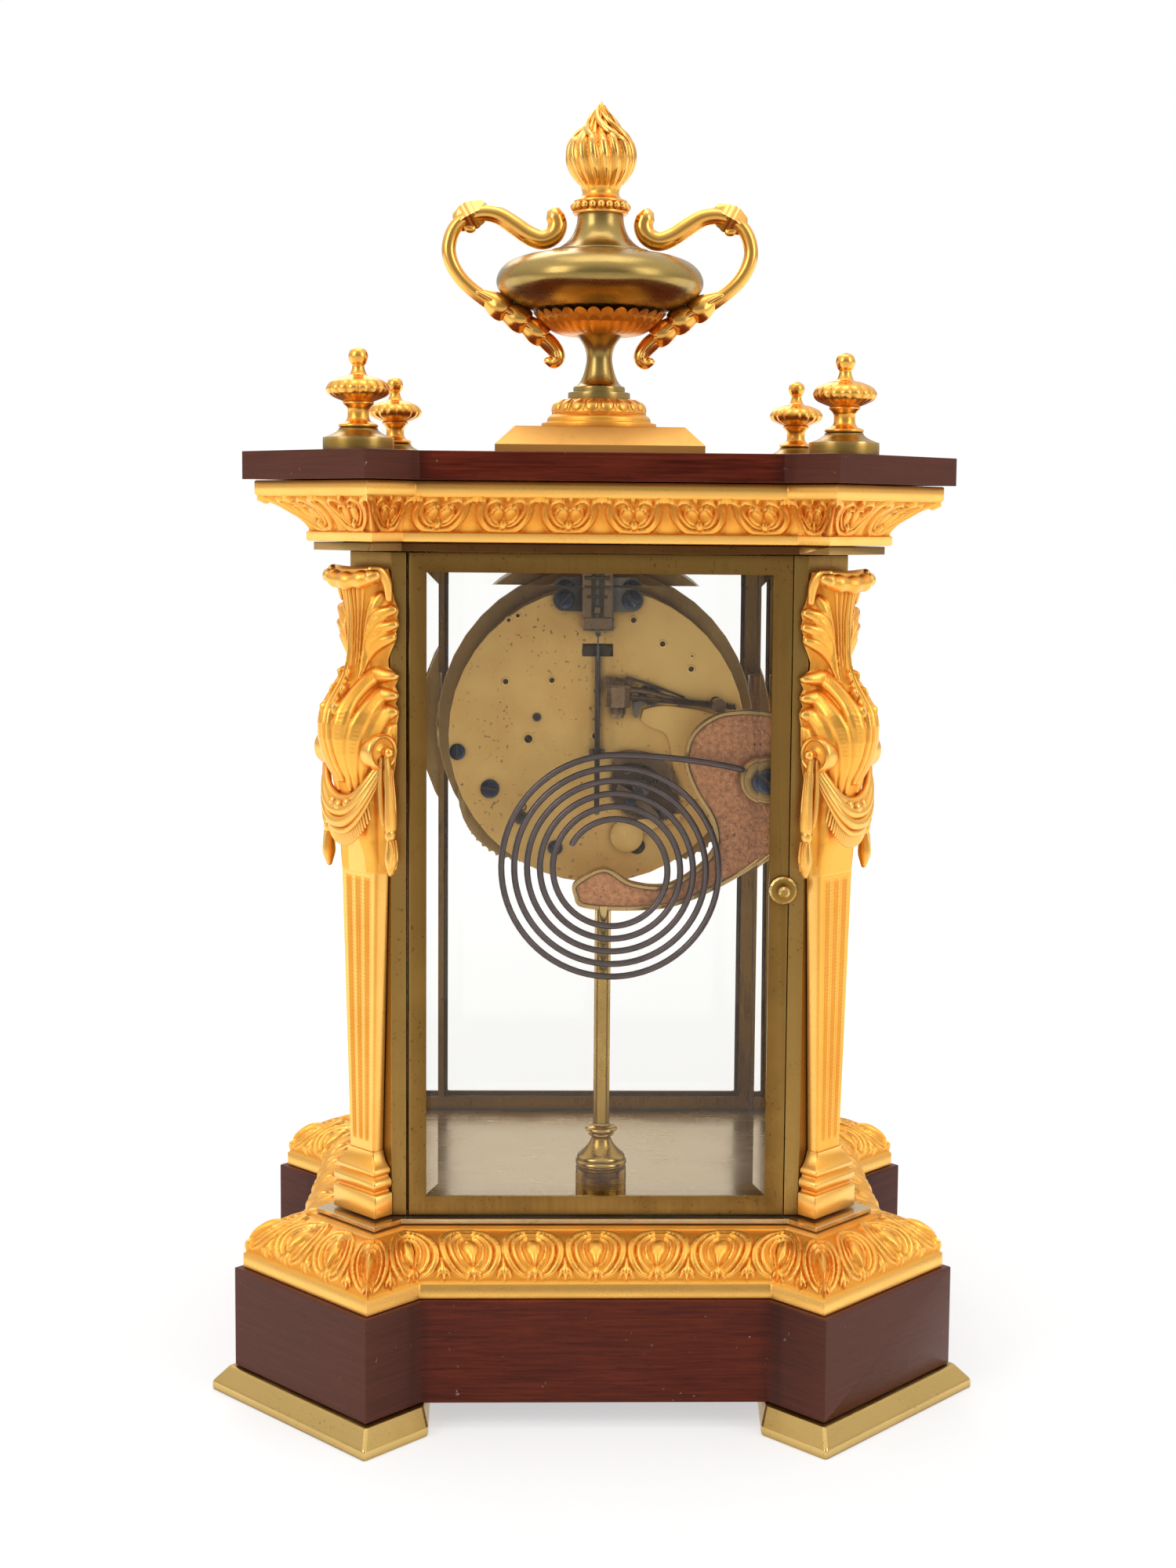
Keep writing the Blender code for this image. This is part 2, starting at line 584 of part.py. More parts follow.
def make_door(name, facing):
    """A glazed door that turns on pins in the plates, with its turning knob."""
    pivot = (facing * HINGE_X, facing * HINGE_Y, CASE_Z)

    def place(along, depth, height):
        return (facing * along, facing * (CASE_HALF_DEPTH - depth), height)

    frame, _ = framed_glass(name + "_frame", name + "_glass", DOOR_HALF, place, pivot)
    rounding = upright(
        name + "_edge_round", [(HINGE_EDGE, CASE_Z), (HINGE_EDGE, CASE_TOP_Z)],
        "brass", pivot[:2], 24,
    )
    nook = box(
        name + "_edge_cutter",
        sorted_low(facing * HINGE_X, facing * HINGE_Y, CASE_Z - OVERRUN, facing),
        sorted_high(facing * HINGE_X, facing * HINGE_Y, CASE_TOP_Z + OVERRUN, facing),
        "brass",
    )
    combine(nook, [rounding], "DIFFERENCE")
    combine(frame, [nook], "DIFFERENCE")
    pins = []
    for end, low, high in (
        ("lower", CASE_Z - PIN_REACH, CASE_Z + OVERRUN),
        ("upper", CASE_TOP_Z - OVERRUN, CASE_TOP_Z + PIN_REACH),
    ):
        profile = [(PIN_RADIUS, low), (PIN_RADIUS, high)]
        pins.append(upright(f"{name}_{end}_pin", profile, "brass", pivot[:2], 12))
    combine(frame, pins, "UNION")

    knob_x = -facing * KNOB_X
    shaft_hole = [
        (KNOB_SHAFT + SEAT, facing * (CASE_HALF_DEPTH + OVERRUN)),
        (KNOB_SHAFT + SEAT, facing * (CASE_HALF_DEPTH - FRAME_DEPTH - OVERRUN)),
    ]
    hole = arbor(name + "_knob_hole", shaft_hole, "brass", (knob_x, KNOB_Z), 12)
    combine(frame, [hole], "DIFFERENCE")
    face = CASE_HALF_DEPTH + SEAT
    inside = CASE_HALF_DEPTH - max(FRAME_DEPTH, POST_WALL) - LATCH_PLAY
    ball = face + KNOB_THICKNESS + KNOB_BALL
    profile = [
        (KNOB_SHAFT, inside - LATCH_THICKNESS),
        (KNOB_SHAFT, face),
        (KNOB_DISC, face),
        (KNOB_DISC, face + KNOB_THICKNESS / 2),
        (KNOB_DISC * 0.85, face + KNOB_THICKNESS),
        (KNOB_BALL / 2, face + KNOB_THICKNESS),
    ]
    steps = 5
    for step in range(steps):
        angle = math.pi * (step + 1) / (steps + 1) - math.pi / 2
        profile.append((KNOB_BALL * math.cos(angle), ball + KNOB_BALL * math.sin(angle)))
    profile = [(radius, facing * depth) for radius, depth in profile]
    knob_pivot = (knob_x, facing * CASE_HALF_DEPTH, KNOB_Z)
    knob = arbor(name + "_knob", profile, "foot_brass", (knob_x, KNOB_Z), 16, knob_pivot)
    latch_y = (facing * (inside - LATCH_THICKNESS), facing * inside)
    latch = box(
        name + "_latch",
        (knob_x - LATCH_WIDTH / 2, min(latch_y), KNOB_Z - LATCH_WIDTH / 2),
        (knob_x + LATCH_WIDTH / 2, max(latch_y), KNOB_Z + LATCH_REACH),
        "foot_brass",
    )
    combine(knob, [latch], "UNION")


def sorted_low(x, y, z, facing):
    """The lower corner of the block that removes a door's sharp hinge edge."""
    reach = HINGE_EDGE + OVERRUN
    return (min(x, x + facing * reach), min(y, y + facing * reach), z)


def sorted_high(x, y, z, facing):
    """The upper corner of that block."""
    reach = HINGE_EDGE + OVERRUN
    return (max(x, x + facing * reach), max(y, y + facing * reach), z)


def make_side(name, side):
    """A fixed side frame with its glass."""
    def place(along, depth, height):
        return (side * (CASE_HALF_WIDTH - depth), along, height)

    framed_glass(f"{name}_side_frame", f"{name}_side_glass", SIDE_HALF, place)


def pier_point(sides, across, outward, height):
    """A point given from the middle of a post's chamfer: across it and out from it."""
    x = CHAMFER_X + (outward - across) * DIAGONAL
    y = CHAMFER_Y + (outward + across) * DIAGONAL
    return (sides[0] * x, sides[1] * y, height)


def console_ring(sides, half, front, height, back=SEAT):
    """A flat-backed section of a console with chamfered front corners."""
    cut = 0.3 * min(half, front)
    outline = [
        (-half, back), (half, back), (half, front - cut),
        (half - cut, front), (cut - half, front), (-half, front - cut),
    ]
    return [pier_point(sides, across, outward, height) for across, outward in outline]


def make_consoles():
    """Gilt consoles: a block, a tapered shaft and a scrolled leaf head."""
    shaft_z = CASE_Z + CONSOLE_FOOT
    head_z = shaft_z + SHAFT_HEIGHT
    foot_shares = [
        (1.0, 1.0, 0.0), (1.0, 1.0, 0.377), (0.94, 0.95, 0.415), (0.98, 1.0, 0.566),
        (0.94, 0.97, 0.717), (0.65, 0.67, 0.906),
    ]
    tail_shares = [
        (0.4, 0.5, 0.0), (0.7, 0.8, 0.35), (0.85, 0.9, 0.7), (1.0, 1.0, 0.92), (0.4, 0.5, 1.0),
    ]
    head_shares = [
        (0.95, 0.36, 0.06), (0.97, 0.52, 0.16), (1.0, 0.64, 0.25), (1.0, 0.84, 0.32),
        (0.95, 0.97, 0.41), (0.92, 0.92, 0.50), (0.90, 0.70, 0.58), (0.78, 0.46, 0.65),
        (0.74, 0.40, 0.71), (0.92, 0.41, 0.79), (1.04, 0.47, 0.85), (1.08, 0.68, 0.91),
        (1.05, 0.64, 0.96), (0.90, 0.42, 1.0),
    ]
    wing_shares = [
        (0.80, 0.42), (0.98, 0.48), (0.88, 0.52), (1.0, 0.57), (0.72, 0.64),
        (0.60, 0.69), (0.95, 0.75), (0.86, 0.81), (0.72, 0.86),
    ]
    for corner, sides in CORNERS.items():
        rings = []
        for half, depth, height in foot_shares:
            level = CASE_Z + CONSOLE_FOOT * height
            rings.append(console_ring(sides, CONSOLE_BLOCK_HALF * half, CONSOLE_DEPTH * depth, level))
        rings.append(console_ring(sides, SHAFT_FOOT_HALF, SHAFT_FOOT_DEPTH, shaft_z))
        rings.append(console_ring(sides, SHAFT_HEAD_HALF, SHAFT_HEAD_DEPTH, head_z))
        for half, reach, height in head_shares:
            level = head_z + (SCROLL_HEIGHT - SEAT) * height
            rings.append(console_ring(sides, SCROLL_HALF * half, SCROLL_REACH * reach, level))
        console = loft("console_" + corner, rings, "gilt")

        wings = [
            console_ring(sides, WING_HALF * half, WING_DEPTH, head_z + SCROLL_HEIGHT * height)
            for half, height in wing_shares
        ]
        leaf = loft("console_leaf_" + corner, wings, "gilt")
        volute_z = head_z + SCROLL_HEIGHT * 0.375
        volute_out = VOLUTE_RADIUS + SEAT + WING_DEPTH / 10
        profile = [
            (PIN_BALL * 0.6, VOLUTE_HALF + 2 * PIN_BALL), (PIN_BALL, VOLUTE_HALF + PIN_BALL),
            (PIN_BALL * 0.6, VOLUTE_HALF), (VOLUTE_RADIUS * 0.85, VOLUTE_HALF),
            (VOLUTE_RADIUS, VOLUTE_HALF - PIN_BALL),
        ]
        profile += [(radius, -across) for radius, across in reversed(profile)]
        rings = []
        for radius, across in profile:
            ring = circle(VOLUTE_SIDES, radius)
            rings.append([pier_point(sides, across, volute_out + n, volute_z + z) for n, z in ring])
        volute = loft("console_volute_" + corner, rings, "gilt")
        tools = [leaf, volute]
        for hand in (-1, 1):
            rings = []
            for width, depth, drop in tail_shares:
                middle = hand * (VOLUTE_HALF + PIN_BALL * 1.2)
                half = TAIL_WIDTH * width / 2
                centre = volute_out - drop * PIN_BALL
                thick = TAIL_DEPTH * depth / 2
                outline = [
                    (middle - half, centre), (middle, centre - thick),
                    (middle + half, centre), (middle, centre + thick),
                ]
                level = volute_z - TAIL_LENGTH * drop
                rings.append([pier_point(sides, across, out, level) for across, out in outline])
            tools.append(loft(f"console_tail_{corner}_{hand}", rings, "gilt"))
        combine(console, tools, "UNION")


def curve_through(points, steps):
    """Points on a smooth curve through the given ones, which keep their extra values."""
    padded = [points[0]] + list(points) + [points[-1]]
    result = []
    for index in range(1, len(padded) - 2):
        before, start, end, after = padded[index - 1:index + 3]
        for step in range(steps):
            share = step / steps
            point = []
            for a, b, c, d in zip(before, start, end, after):
                slope = (c - a) * share + (2 * a - 5 * b + 4 * c - d) * share ** 2
                slope += (3 * b - a - 3 * c + d) * share ** 3
                point.append(b + slope / 2)
            result.append(tuple(point))
    result.append(tuple(points[-1]))
    return result


def tube(name, points, radii, kind, resolution):
    """A round bar along points, as a curve with filled ends."""
    curve = bpy.data.curves.new(name, "CURVE")
    curve.dimensions = "3D"
    curve.bevel_depth = 1.0
    curve.bevel_resolution = resolution
    curve.use_fill_caps = True
    curve.twist_mode = "MINIMUM"
    spline = curve.splines.new("POLY")
    spline.points.add(len(points) - 1)
    for point, place, radius in zip(spline.points, points, radii):
        point.co = (*place, 1.0)
        point.radius = radius
    curve.materials.append(finish_for(name, kind))
    piece = bpy.data.objects.new(name, curve)
    bpy.context.scene.collection.objects.link(piece)
    return piece


def rod_between(name, start, end, radius, kind, sides=8):
    """A straight round rod between two points."""
    along = (end - start).normalized()
    side = along.cross(Vector((0.0, 0.0, 1.0))).normalized()
    rise = side.cross(along)
    rings = [[middle + side * x + rise * z for x, z in circle(sides, radius)] for middle in (start, end)]
    return loft(name, rings, kind)


def make_urn():
    """The urn: square plate, socle and stem, bowl, collar and flame."""
    half_top = URN_PLATE_HALF - URN_PLATE_CHAMFER - SEAT
    rings = []
    for half, height in (
        (URN_PLATE_HALF, CROWN_Z),
        (URN_PLATE_HALF, CROWN_Z + URN_PLATE_EDGE),
        (half_top, CROWN_Z + URN_PLATE_EDGE + URN_PLATE_CHAMFER),
    ):
        square = [(-half, -half), (half, -half), (half, half), (-half, half)]
        rings.append([(x, y, height) for x, y in square])
    loft("urn_plate", rings, "gilt", smooth=False)

    socle_z = CROWN_Z + URN_PLATE_EDGE + URN_PLATE_CHAMFER + SEAT
    socle_shares = [
        (1.0, 0.0), (1.0, 0.29), (0.87, 0.31), (0.87, 0.53), (0.81, 0.56), (0.86, 0.76), (0.79, 1.0),
    ]
    profile = [(SOCLE_RADIUS * radius, socle_z + SOCLE_HEIGHT * height) for radius, height in socle_shares]
    stem_z = socle_z + SOCLE_HEIGHT
    stem_shares = [(1.0, 0.01), (1.0, 0.10), (0.84, 0.12), (0.84, 0.20)]
    profile += [(STEM_RADIUS * radius, stem_z + STEM_HEIGHT * height) for radius, height in stem_shares]
    waist_shares = [(1.5, 0.34), (1.05, 0.50), (1.0, 0.60), (1.12, 0.74), (1.55, 0.90), (1.9, 1.0)]
    profile += [(STEM_WAIST * radius, stem_z + STEM_HEIGHT * height) for radius, height in waist_shares]
    upright("urn_socle", profile, "gilt")

    bowl_z = stem_z + STEM_HEIGHT + SEAT
    calyx_shares = [(0.40, 0.0), (0.48, 0.22), (0.74, 0.62), (1.0, 1.0)]
    profile = [(CALYX_RADIUS * radius, bowl_z + CALYX_HEIGHT * height) for radius, height in calyx_shares]
    bowl_shares = [
        (0.75, 0.34), (0.907, 0.47), (0.98, 0.57), (1.0, 0.67),
        (0.97, 0.80), (0.86, 0.91), (0.68, 0.975), (0.5, 1.0),
    ]
    profile += [(BOWL_RADIUS * radius, bowl_z + BOWL_HEIGHT * height) for radius, height in bowl_shares]
    upright("urn_bowl", profile, "brass")

    collar_z = bowl_z + BOWL_HEIGHT + SEAT
    neck_z = collar_z + LEDGE_HEIGHT
    profile = [(LEDGE_RADIUS, collar_z), (LEDGE_RADIUS, neck_z - SEAT)]
    neck_shares = [(1.77, 0.0), (1.32, 0.35), (1.07, 0.72), (1.0, 1.0)]
    profile += [(NECK_RADIUS * radius, neck_z + NECK_HEIGHT * height) for radius, height in neck_shares]
    ring_z = neck_z + NECK_HEIGHT
    ring_shares = [(0.9, 0.02), (0.92, 0.2), (1.0, 0.35), (1.0, 0.62), (0.88, 0.8), (0.7, 1.0)]
    profile += [(COLLAR_RADIUS * radius, ring_z + COLLAR_HEIGHT * height) for radius, height in ring_shares]
    upright("urn_collar", profile, "brass")

    flame_z = ring_z + COLLAR_HEIGHT + SEAT
    flame_shares = [
        (0.52, 0.0), (0.80, 0.15), (1.0, 0.36), (0.95, 0.52),
        (0.74, 0.66), (0.42, 0.82), (0.16, 0.94), (0.03, 1.0),
    ]
    rings = []
    for radius, height in flame_shares:
        ring = []
        for x, y in circle(URN_SIDES, FLAME_RADIUS * radius):
            angle = math.atan2(y, x) * FLAME_FLUTES + height * math.pi * 2
            swell = 1 - 0.1 * (1 - math.cos(angle)) / 2 * min(1, 4 * height)
            ring.append((x * swell, y * swell, flame_z + FLAME_HEIGHT * height))
        rings.append(ring)
    loft("urn_flame", rings, "gilt")
    make_handles(bowl_z)


def make_handles(bowl_z):
    """Scrolled handles that rest on the bowl's ledge and tuck in under it."""
    shoulder = bowl_z + BOWL_HEIGHT
    reach = BOWL_RADIUS
    rise = BOWL_HEIGHT
    arm = HANDLE_ARM
    loop = HANDLE_LOOP
    route = [
        (0.44 * reach, shoulder + 0.33 * rise, arm * 1.15),
        (0.43 * reach, shoulder + 0.22 * rise, arm * 0.8),
        (LEDGE_RADIUS + arm, shoulder + arm + SEAT, arm * 0.85),
        (0.72 * reach, shoulder + 0.15 * rise, arm),
        (0.92 * reach, shoulder + 0.31 * rise, arm * 1.1),
        (reach + 0.20 * HANDLE_SPAN, shoulder + 0.455 * rise, arm * 1.1),
        (reach + 0.46 * HANDLE_SPAN, shoulder + 0.455 * rise, arm * 1.1),
        (reach + 0.60 * HANDLE_SPAN, shoulder + 0.41 * rise, HANDLE_COLLAR),
        (reach + 0.74 * HANDLE_SPAN, shoulder + 0.35 * rise, loop * 1.1),
        (reach + 0.93 * HANDLE_SPAN, shoulder + 0.17 * rise, loop),
        (reach + 0.985 * HANDLE_SPAN, shoulder - 0.02 * rise, loop),
        (reach + 0.90 * HANDLE_SPAN, shoulder - 0.22 * rise, loop),
        (reach + 0.66 * HANDLE_SPAN, shoulder - 0.43 * rise, loop),
        (reach + 0.32 * HANDLE_SPAN, shoulder - 0.60 * rise, loop * 1.1),
        (0.97 * reach, shoulder - 0.71 * rise, loop * 1.25),
        (0.76 * reach, shoulder - 0.82 * rise, loop * 1.15),
        (0.60 * reach, shoulder - 0.95 * rise, loop * 1.2),
        (0.43 * reach, shoulder - 1.08 * rise, loop * 1.1),
        (0.36 * reach, shoulder - 1.20 * rise, loop),
        (0.43 * reach, shoulder - 1.30 * rise, loop * 0.8),
        (0.51 * reach, shoulder - 1.26 * rise, loop * 0.9),
    ]
    smooth = curve_through(route, 2)
    for name, side in (("urn_handle_left", -1), ("urn_handle_right", 1)):
        points = [(side * radius, 0.0, height) for radius, height, _ in smooth]
        tube(name, points, [width for _, _, width in smooth], "gilt", 2)


def make_finials():
    """Gilt finials on brass feet at the corners of the slab."""
    base = FINIAL_BASE_RADIUS
    stem = FINIAL_STEM_RADIUS
    bulb = FINIAL_BULB_RADIUS
    ball = FINIAL_BALL_RADIUS
    shares = [
        (base, 0.0), (base, 0.115), (base * 0.56, 0.205), (stem * 1.7, 0.23), (stem * 1.7, 0.26),
        (stem, 0.325), (stem * 1.54, 0.42), (stem * 1.54, 0.45), (bulb * 0.72, 0.485), (bulb, 0.575),
        (bulb * 0.86, 0.665), (bulb * 0.45, 0.74), (ball * 0.62, 0.805), (ball * 0.75, 0.845),
        (ball, 0.90), (ball * 0.75, 0.96), (ball * 0.2, 1.0),
    ]
    profile = [(radius, CROWN_Z + FINIAL_HEIGHT * height) for radius, height in shares]
    for corner, (side_x, side_y) in CORNERS.items():
        centre = (side_x * FINIAL_X, side_y * FINIAL_Y)
        upright("finial_" + corner, profile, "gilt", centre, FINIAL_SIDES)


def gear(teeth, tip, depth):
    """The outline of a wheel with pointed teeth."""
    outline = []
    for step in range(2 * teeth):
        radius = tip if step % 2 else tip - depth
        angle = math.pi * step / teeth
        outline.append((radius * math.cos(angle), radius * math.sin(angle)))
    return outline


def wheel(name, centre, outline, back, front, kind):
    """A flat wheel that shares its axis with an arbor."""
    points = [(centre[0] + x, centre[1] + z) for x, z in outline]
    return sheet(name, points, back, front, kind)


def make_plates():
    """The two movement plates, the front one with its riveted pillars."""
    hub = (0.0, DIAL_Z)
    barrels = [(side * BARREL_SPACING, DIAL_Z - BARREL_DROP) for side in (-1, 1)]
    escape = (0.0, DIAL_Z + PALLET_HEIGHT - ESCAPE_DROP)
    hammer = (HAMMER_PIVOT_X, DIAL_Z + HAMMER_PIVOT_RISE)
    disc = [(x, DIAL_Z + z) for x, z in circle(PLATE_SIDES, MOVEMENT_RADIUS)]
    front = sheet("front_movement_plate", disc, FRONT_PLATE_Y, FRONT_INSIDE, "plate_brass")
    added = []
    lobe = GREAT_WHEEL_RADIUS + LOBE_MARGIN
    for number, place in enumerate(barrels):
        outline = [(place[0] + x, place[1] + z) for x, z in circle(32, lobe)]
        added.append(sheet(f"barrel_lobe_{number}", outline, FRONT_PLATE_Y, FRONT_INSIDE, "plate_brass"))
    for number, degrees in enumerate((40, 90, 138, 270)):
        angle = math.radians(degrees)
        place = (PILLAR_CIRCLE * math.cos(angle), DIAL_Z + PILLAR_CIRCLE * math.sin(angle))
        profile = [(PILLAR_RADIUS, FRONT_PLATE_Y + MOVEMENT_PLATE / 2), (PILLAR_RADIUS, REAR_INSIDE - SEAT)]
        added.append(arbor(f"movement_pillar_{number}", profile, "plate_brass", place, 10))
    combine(front, added, "UNION")
    bore(front, [hub] + barrels, ARBOR_RADIUS + RUNNING, FRONT_PLATE_Y - OVERRUN, FRONT_INSIDE + OVERRUN)
    pivots = [escape, (0.0, DIAL_Z + PALLET_HEIGHT), hammer]
    bore(front, pivots, PIVOT_RADIUS + RUNNING, FRONT_PLATE_Y - OVERRUN, FRONT_INSIDE + OVERRUN)

    rear = sheet("rear_movement_plate", disc, REAR_INSIDE, MOVEMENT_REAR, "plate_brass")
    pivots = [hub, escape] + barrels
    bore(rear, pivots, PIVOT_RADIUS + RUNNING, REAR_INSIDE - OVERRUN, MOVEMENT_REAR + OVERRUN)
    bore(rear, [hammer], ARBOR_RADIUS + RUNNING, REAR_INSIDE - OVERRUN, MOVEMENT_REAR + OVERRUN)
    slot_z = DIAL_Z + PALLET_HEIGHT
    slot = box(
        "crutch_slot",
        (-SLOT_HALF, REAR_INSIDE - OVERRUN, slot_z - SLOT_HEIGHT / 2),
        (SLOT_HALF, MOVEMENT_REAR + OVERRUN, slot_z + SLOT_HEIGHT / 2),
        "plate_brass",
    )
    combine(rear, [slot], "DIFFERENCE")


def make_barrels():
    """Spring barrels with great wheels, and arbors that end at the key holes in the dial."""
    wheel_back = REAR_INSIDE - BARREL_SHAKE - BARREL_LENGTH
    for name, side in (("strike_barrel", -1), ("going_barrel", 1)):
        centre = (side * BARREL_SPACING, DIAL_Z - BARREL_DROP)
        pivot = (centre[0], 0.0, centre[1])
        key_end = DIAL_Y + DIAL_THICKNESS / 2
        profile = [
            (PIVOT_RADIUS, MOVEMENT_REAR),
            (PIVOT_RADIUS, REAR_INSIDE - SEAT),
            (ARBOR_RADIUS, REAR_INSIDE - SEAT),
            (ARBOR_RADIUS, REAR_INSIDE - BARREL_SHAKE),
            (BARREL_RADIUS, REAR_INSIDE - BARREL_SHAKE),
            (BARREL_RADIUS, wheel_back),
            (ARBOR_RADIUS, wheel_back),
            (ARBOR_RADIUS, key_end),
        ]
        barrel = arbor(name, profile, "plate_brass", centre, 20, pivot)
        teeth = gear(GREAT_WHEEL_TEETH, GREAT_WHEEL_RADIUS, TOOTH_DEPTH)
        rim_front = wheel_back - WHEEL_THICKNESS / 2
        rim_back = rim_front + WHEEL_THICKNESS
        rim = wheel(name + "_great_wheel", centre, teeth, rim_front, rim_back, "plate_brass")
        combine(barrel, [rim], "UNION")


def make_train():
    """Centre wheel, escape wheel, pallets and crutch."""
    hub = (0.0, DIAL_Z)
    hub_pivot = (0.0, 0.0, DIAL_Z)
    minute_tip = DIAL_Y - HAND_GAP * 2 - HAND_THICKNESS * 2
    profile = [
        (PIVOT_RADIUS, MOVEMENT_REAR),
        (PIVOT_RADIUS, REAR_INSIDE - SEAT),
        (ARBOR_RADIUS, REAR_INSIDE - SEAT),
        (ARBOR_RADIUS, minute_tip + HAND_THICKNESS + SEAT),
    ]
    centre = arbor("centre_wheel", profile, "plate_brass", hub, 14, hub_pivot)
    rim_front = FRONT_INSIDE + TOOTH_DEPTH
    outline = gear(CENTRE_WHEEL_TEETH, CENTRE_WHEEL_RADIUS, TOOTH_DEPTH)
    rim = wheel("centre_wheel_rim", hub, outline, rim_front, rim_front + WHEEL_THICKNESS, "plate_brass")
    combine(centre, [rim], "UNION")

    escape_z = DIAL_Z + PALLET_HEIGHT - ESCAPE_DROP
    escape_pivot = (0.0, 0.0, escape_z)
    profile = [
        (PIVOT_RADIUS, MOVEMENT_REAR),
        (PIVOT_RADIUS, FRONT_PLATE_Y),
    ]
    escape = arbor("escape_wheel", profile, "plate_brass", escape_pivot[::2], 10, escape_pivot)
    wheel_y = REAR_INSIDE - ESCAPE_INSET
    outline = gear(ESCAPE_TEETH, ESCAPE_RADIUS, TOOTH_DEPTH)
    teeth = wheel("escape_teeth", (0.0, escape_z), outline, wheel_y - WHEEL_THICKNESS, wheel_y, "plate_brass")
    combine(escape, [teeth], "UNION")

    pallet_z = DIAL_Z + PALLET_HEIGHT
    pallet_pivot = (0.0, 0.0, pallet_z)
    crutch_y = MOVEMENT_REAR + CRUTCH_STAND
    profile = [(PIVOT_RADIUS, FRONT_PLATE_Y), (PIVOT_RADIUS, crutch_y + CRUTCH_THICKNESS)]
    crutch = arbor("pallets_and_crutch", profile, "bright_steel", (0.0, pallet_z), 10, pallet_pivot)
    reach = ESCAPE_RADIUS + PALLET_CLEARANCE
    tip_z = escape_z + reach * 0.35
    arm_z = escape_z + reach + PALLET_WIDTH
    half = [
        (PALLET_WIDTH, arm_z - PALLET_WIDTH / 2),
        (reach, escape_z + reach),
        (reach, tip_z),
        (reach + PALLET_WIDTH, tip_z),
        (reach + PALLET_WIDTH, arm_z),
        (PALLET_WIDTH, pallet_z + PALLET_WIDTH),
    ]
    outline = half + [(-x, z) for x, z in reversed(half)]
    pallets = sheet("pallet_anchor", outline, wheel_y - WHEEL_THICKNESS, wheel_y, "bright_steel")
    fork_z = pallet_z - CRUTCH_LENGTH
    arm = box(
        "crutch_arm",
        (-CRUTCH_WIDTH / 2, crutch_y, fork_z - FORK_HEIGHT / 2),
        (CRUTCH_WIDTH / 2, crutch_y + CRUTCH_THICKNESS, pallet_z + CRUTCH_WIDTH),
        "bright_steel",
    )
    leader_y = suspension_depth()
    inner = LEADER_RADIUS + FORK_PLAY
    outline = [
        (-FORK_HALF, crutch_y), (FORK_HALF, crutch_y), (FORK_HALF, leader_y + LEADER_RADIUS),
        (inner, leader_y + LEADER_RADIUS), (inner, crutch_y + CRUTCH_THICKNESS),
        (-inner, crutch_y + CRUTCH_THICKNESS), (-inner, leader_y + LEADER_RADIUS),
        (-FORK_HALF, leader_y + LEADER_RADIUS),
    ]
    fork = slab("crutch_fork", outline, fork_z - FORK_HEIGHT / 2, fork_z + FORK_HEIGHT / 2, "bright_steel")
    combine(crutch, [pallets, arm, fork], "UNION")


def suspension_depth():
    """The depth at which the suspension spring and the leader hang."""
    return MOVEMENT_REAR + BRACKET_THICKNESS + BLOCK_DEPTH / 2


def make_suspension():
    """The suspension bracket on the rear plate, and the leader that hangs from it."""
    middle = DIAL_Z + BRACKET_RISE
    back = MOVEMENT_REAR + SEAT
    radius = BRACKET_HEIGHT / 2
    outline = []
    for x, z in circle(20, radius):
        outline.append((x + math.copysign(BRACKET_HALF - radius, x), middle + z))
    bracket = sheet("suspension_bracket", outline, back, back + BRACKET_THICKNESS, "steel")
    top = middle + radius
    depth = suspension_depth()
    block = box(
        "suspension_block",
        (-BLOCK_HALF, back + BRACKET_THICKNESS / 2, top - BLOCK_HEIGHT),
        (BLOCK_HALF, back + BRACKET_THICKNESS + BLOCK_DEPTH, top),
        "steel",
    )
    combine(bracket, [block], "UNION")
    slot_half = SPRING_THICKNESS / 2 + SEAT
    width_half = SPRING_WIDTH / 2 + SEAT
    slot = box(
        "spring_slot",
        (-slot_half, depth - width_half, top - BLOCK_HEIGHT - OVERRUN),
        (slot_half, depth + width_half, top - BLOCK_HEIGHT / 2),
        "steel",
    )
    combine(bracket, [slot], "DIFFERENCE")

    swing_z = top - BLOCK_HEIGHT - SPRING_FREE
    pivot = (0.0, depth, swing_z)
    spring_low = swing_z - SPRING_LENGTH
    spring = box(
        "pendulum_leader",
        (-SPRING_THICKNESS / 2, depth - SPRING_WIDTH / 2, spring_low),
        (SPRING_THICKNESS / 2, depth + SPRING_WIDTH / 2, swing_z + BLOCK_HEIGHT / 4),
        "steel",
        pivot,
    )
    rod_low = spring_low - LEADER_LENGTH
    profile = [(LEADER_RADIUS, rod_low), (LEADER_RADIUS, spring_low + SPRING_LAP)]
    rod = upright("leader_rod", profile, "steel", (0.0, depth), 10)
    profile = [(LEADER_RADIUS, depth - SPRING_WIDTH), (LEADER_RADIUS, depth + SPRING_WIDTH)]
    hook = arbor("leader_hook", profile, "steel", (0.0, rod_low + LEADER_RADIUS), 10)
    pin_z = top - BLOCK_HEIGHT - RUNNING - LEADER_RADIUS
    pin = arbor("spring_pin", profile, "steel", (0.0, pin_z), 10)
    combine(spring, [rod, hook, pin], "UNION")


def hand_outline(length, width):
    """A tapered hand with a round swelling near its tip, pointing up."""
    boss = width * 2.1
    outline = []
    for step in range(9):
        angle = math.pi + math.pi * step / 8
        outline.append((boss * math.cos(angle), boss * math.sin(angle)))
    outline += [(width * 0.8, boss), (width * 0.55, length * 0.68)]
    for step in range(7):
        angle = -math.pi / 3 + math.pi * 2 / 3 * step / 6
        outline.append((width * 1.9 * math.cos(angle), length * 0.75 + width * 1.9 * math.sin(angle)))
    outline.append((width * 0.5, length * 0.83))
    outline.append((0.0, length))
    left = [(-x, z) for x, z in reversed(outline[9:-1])]
    return outline + left


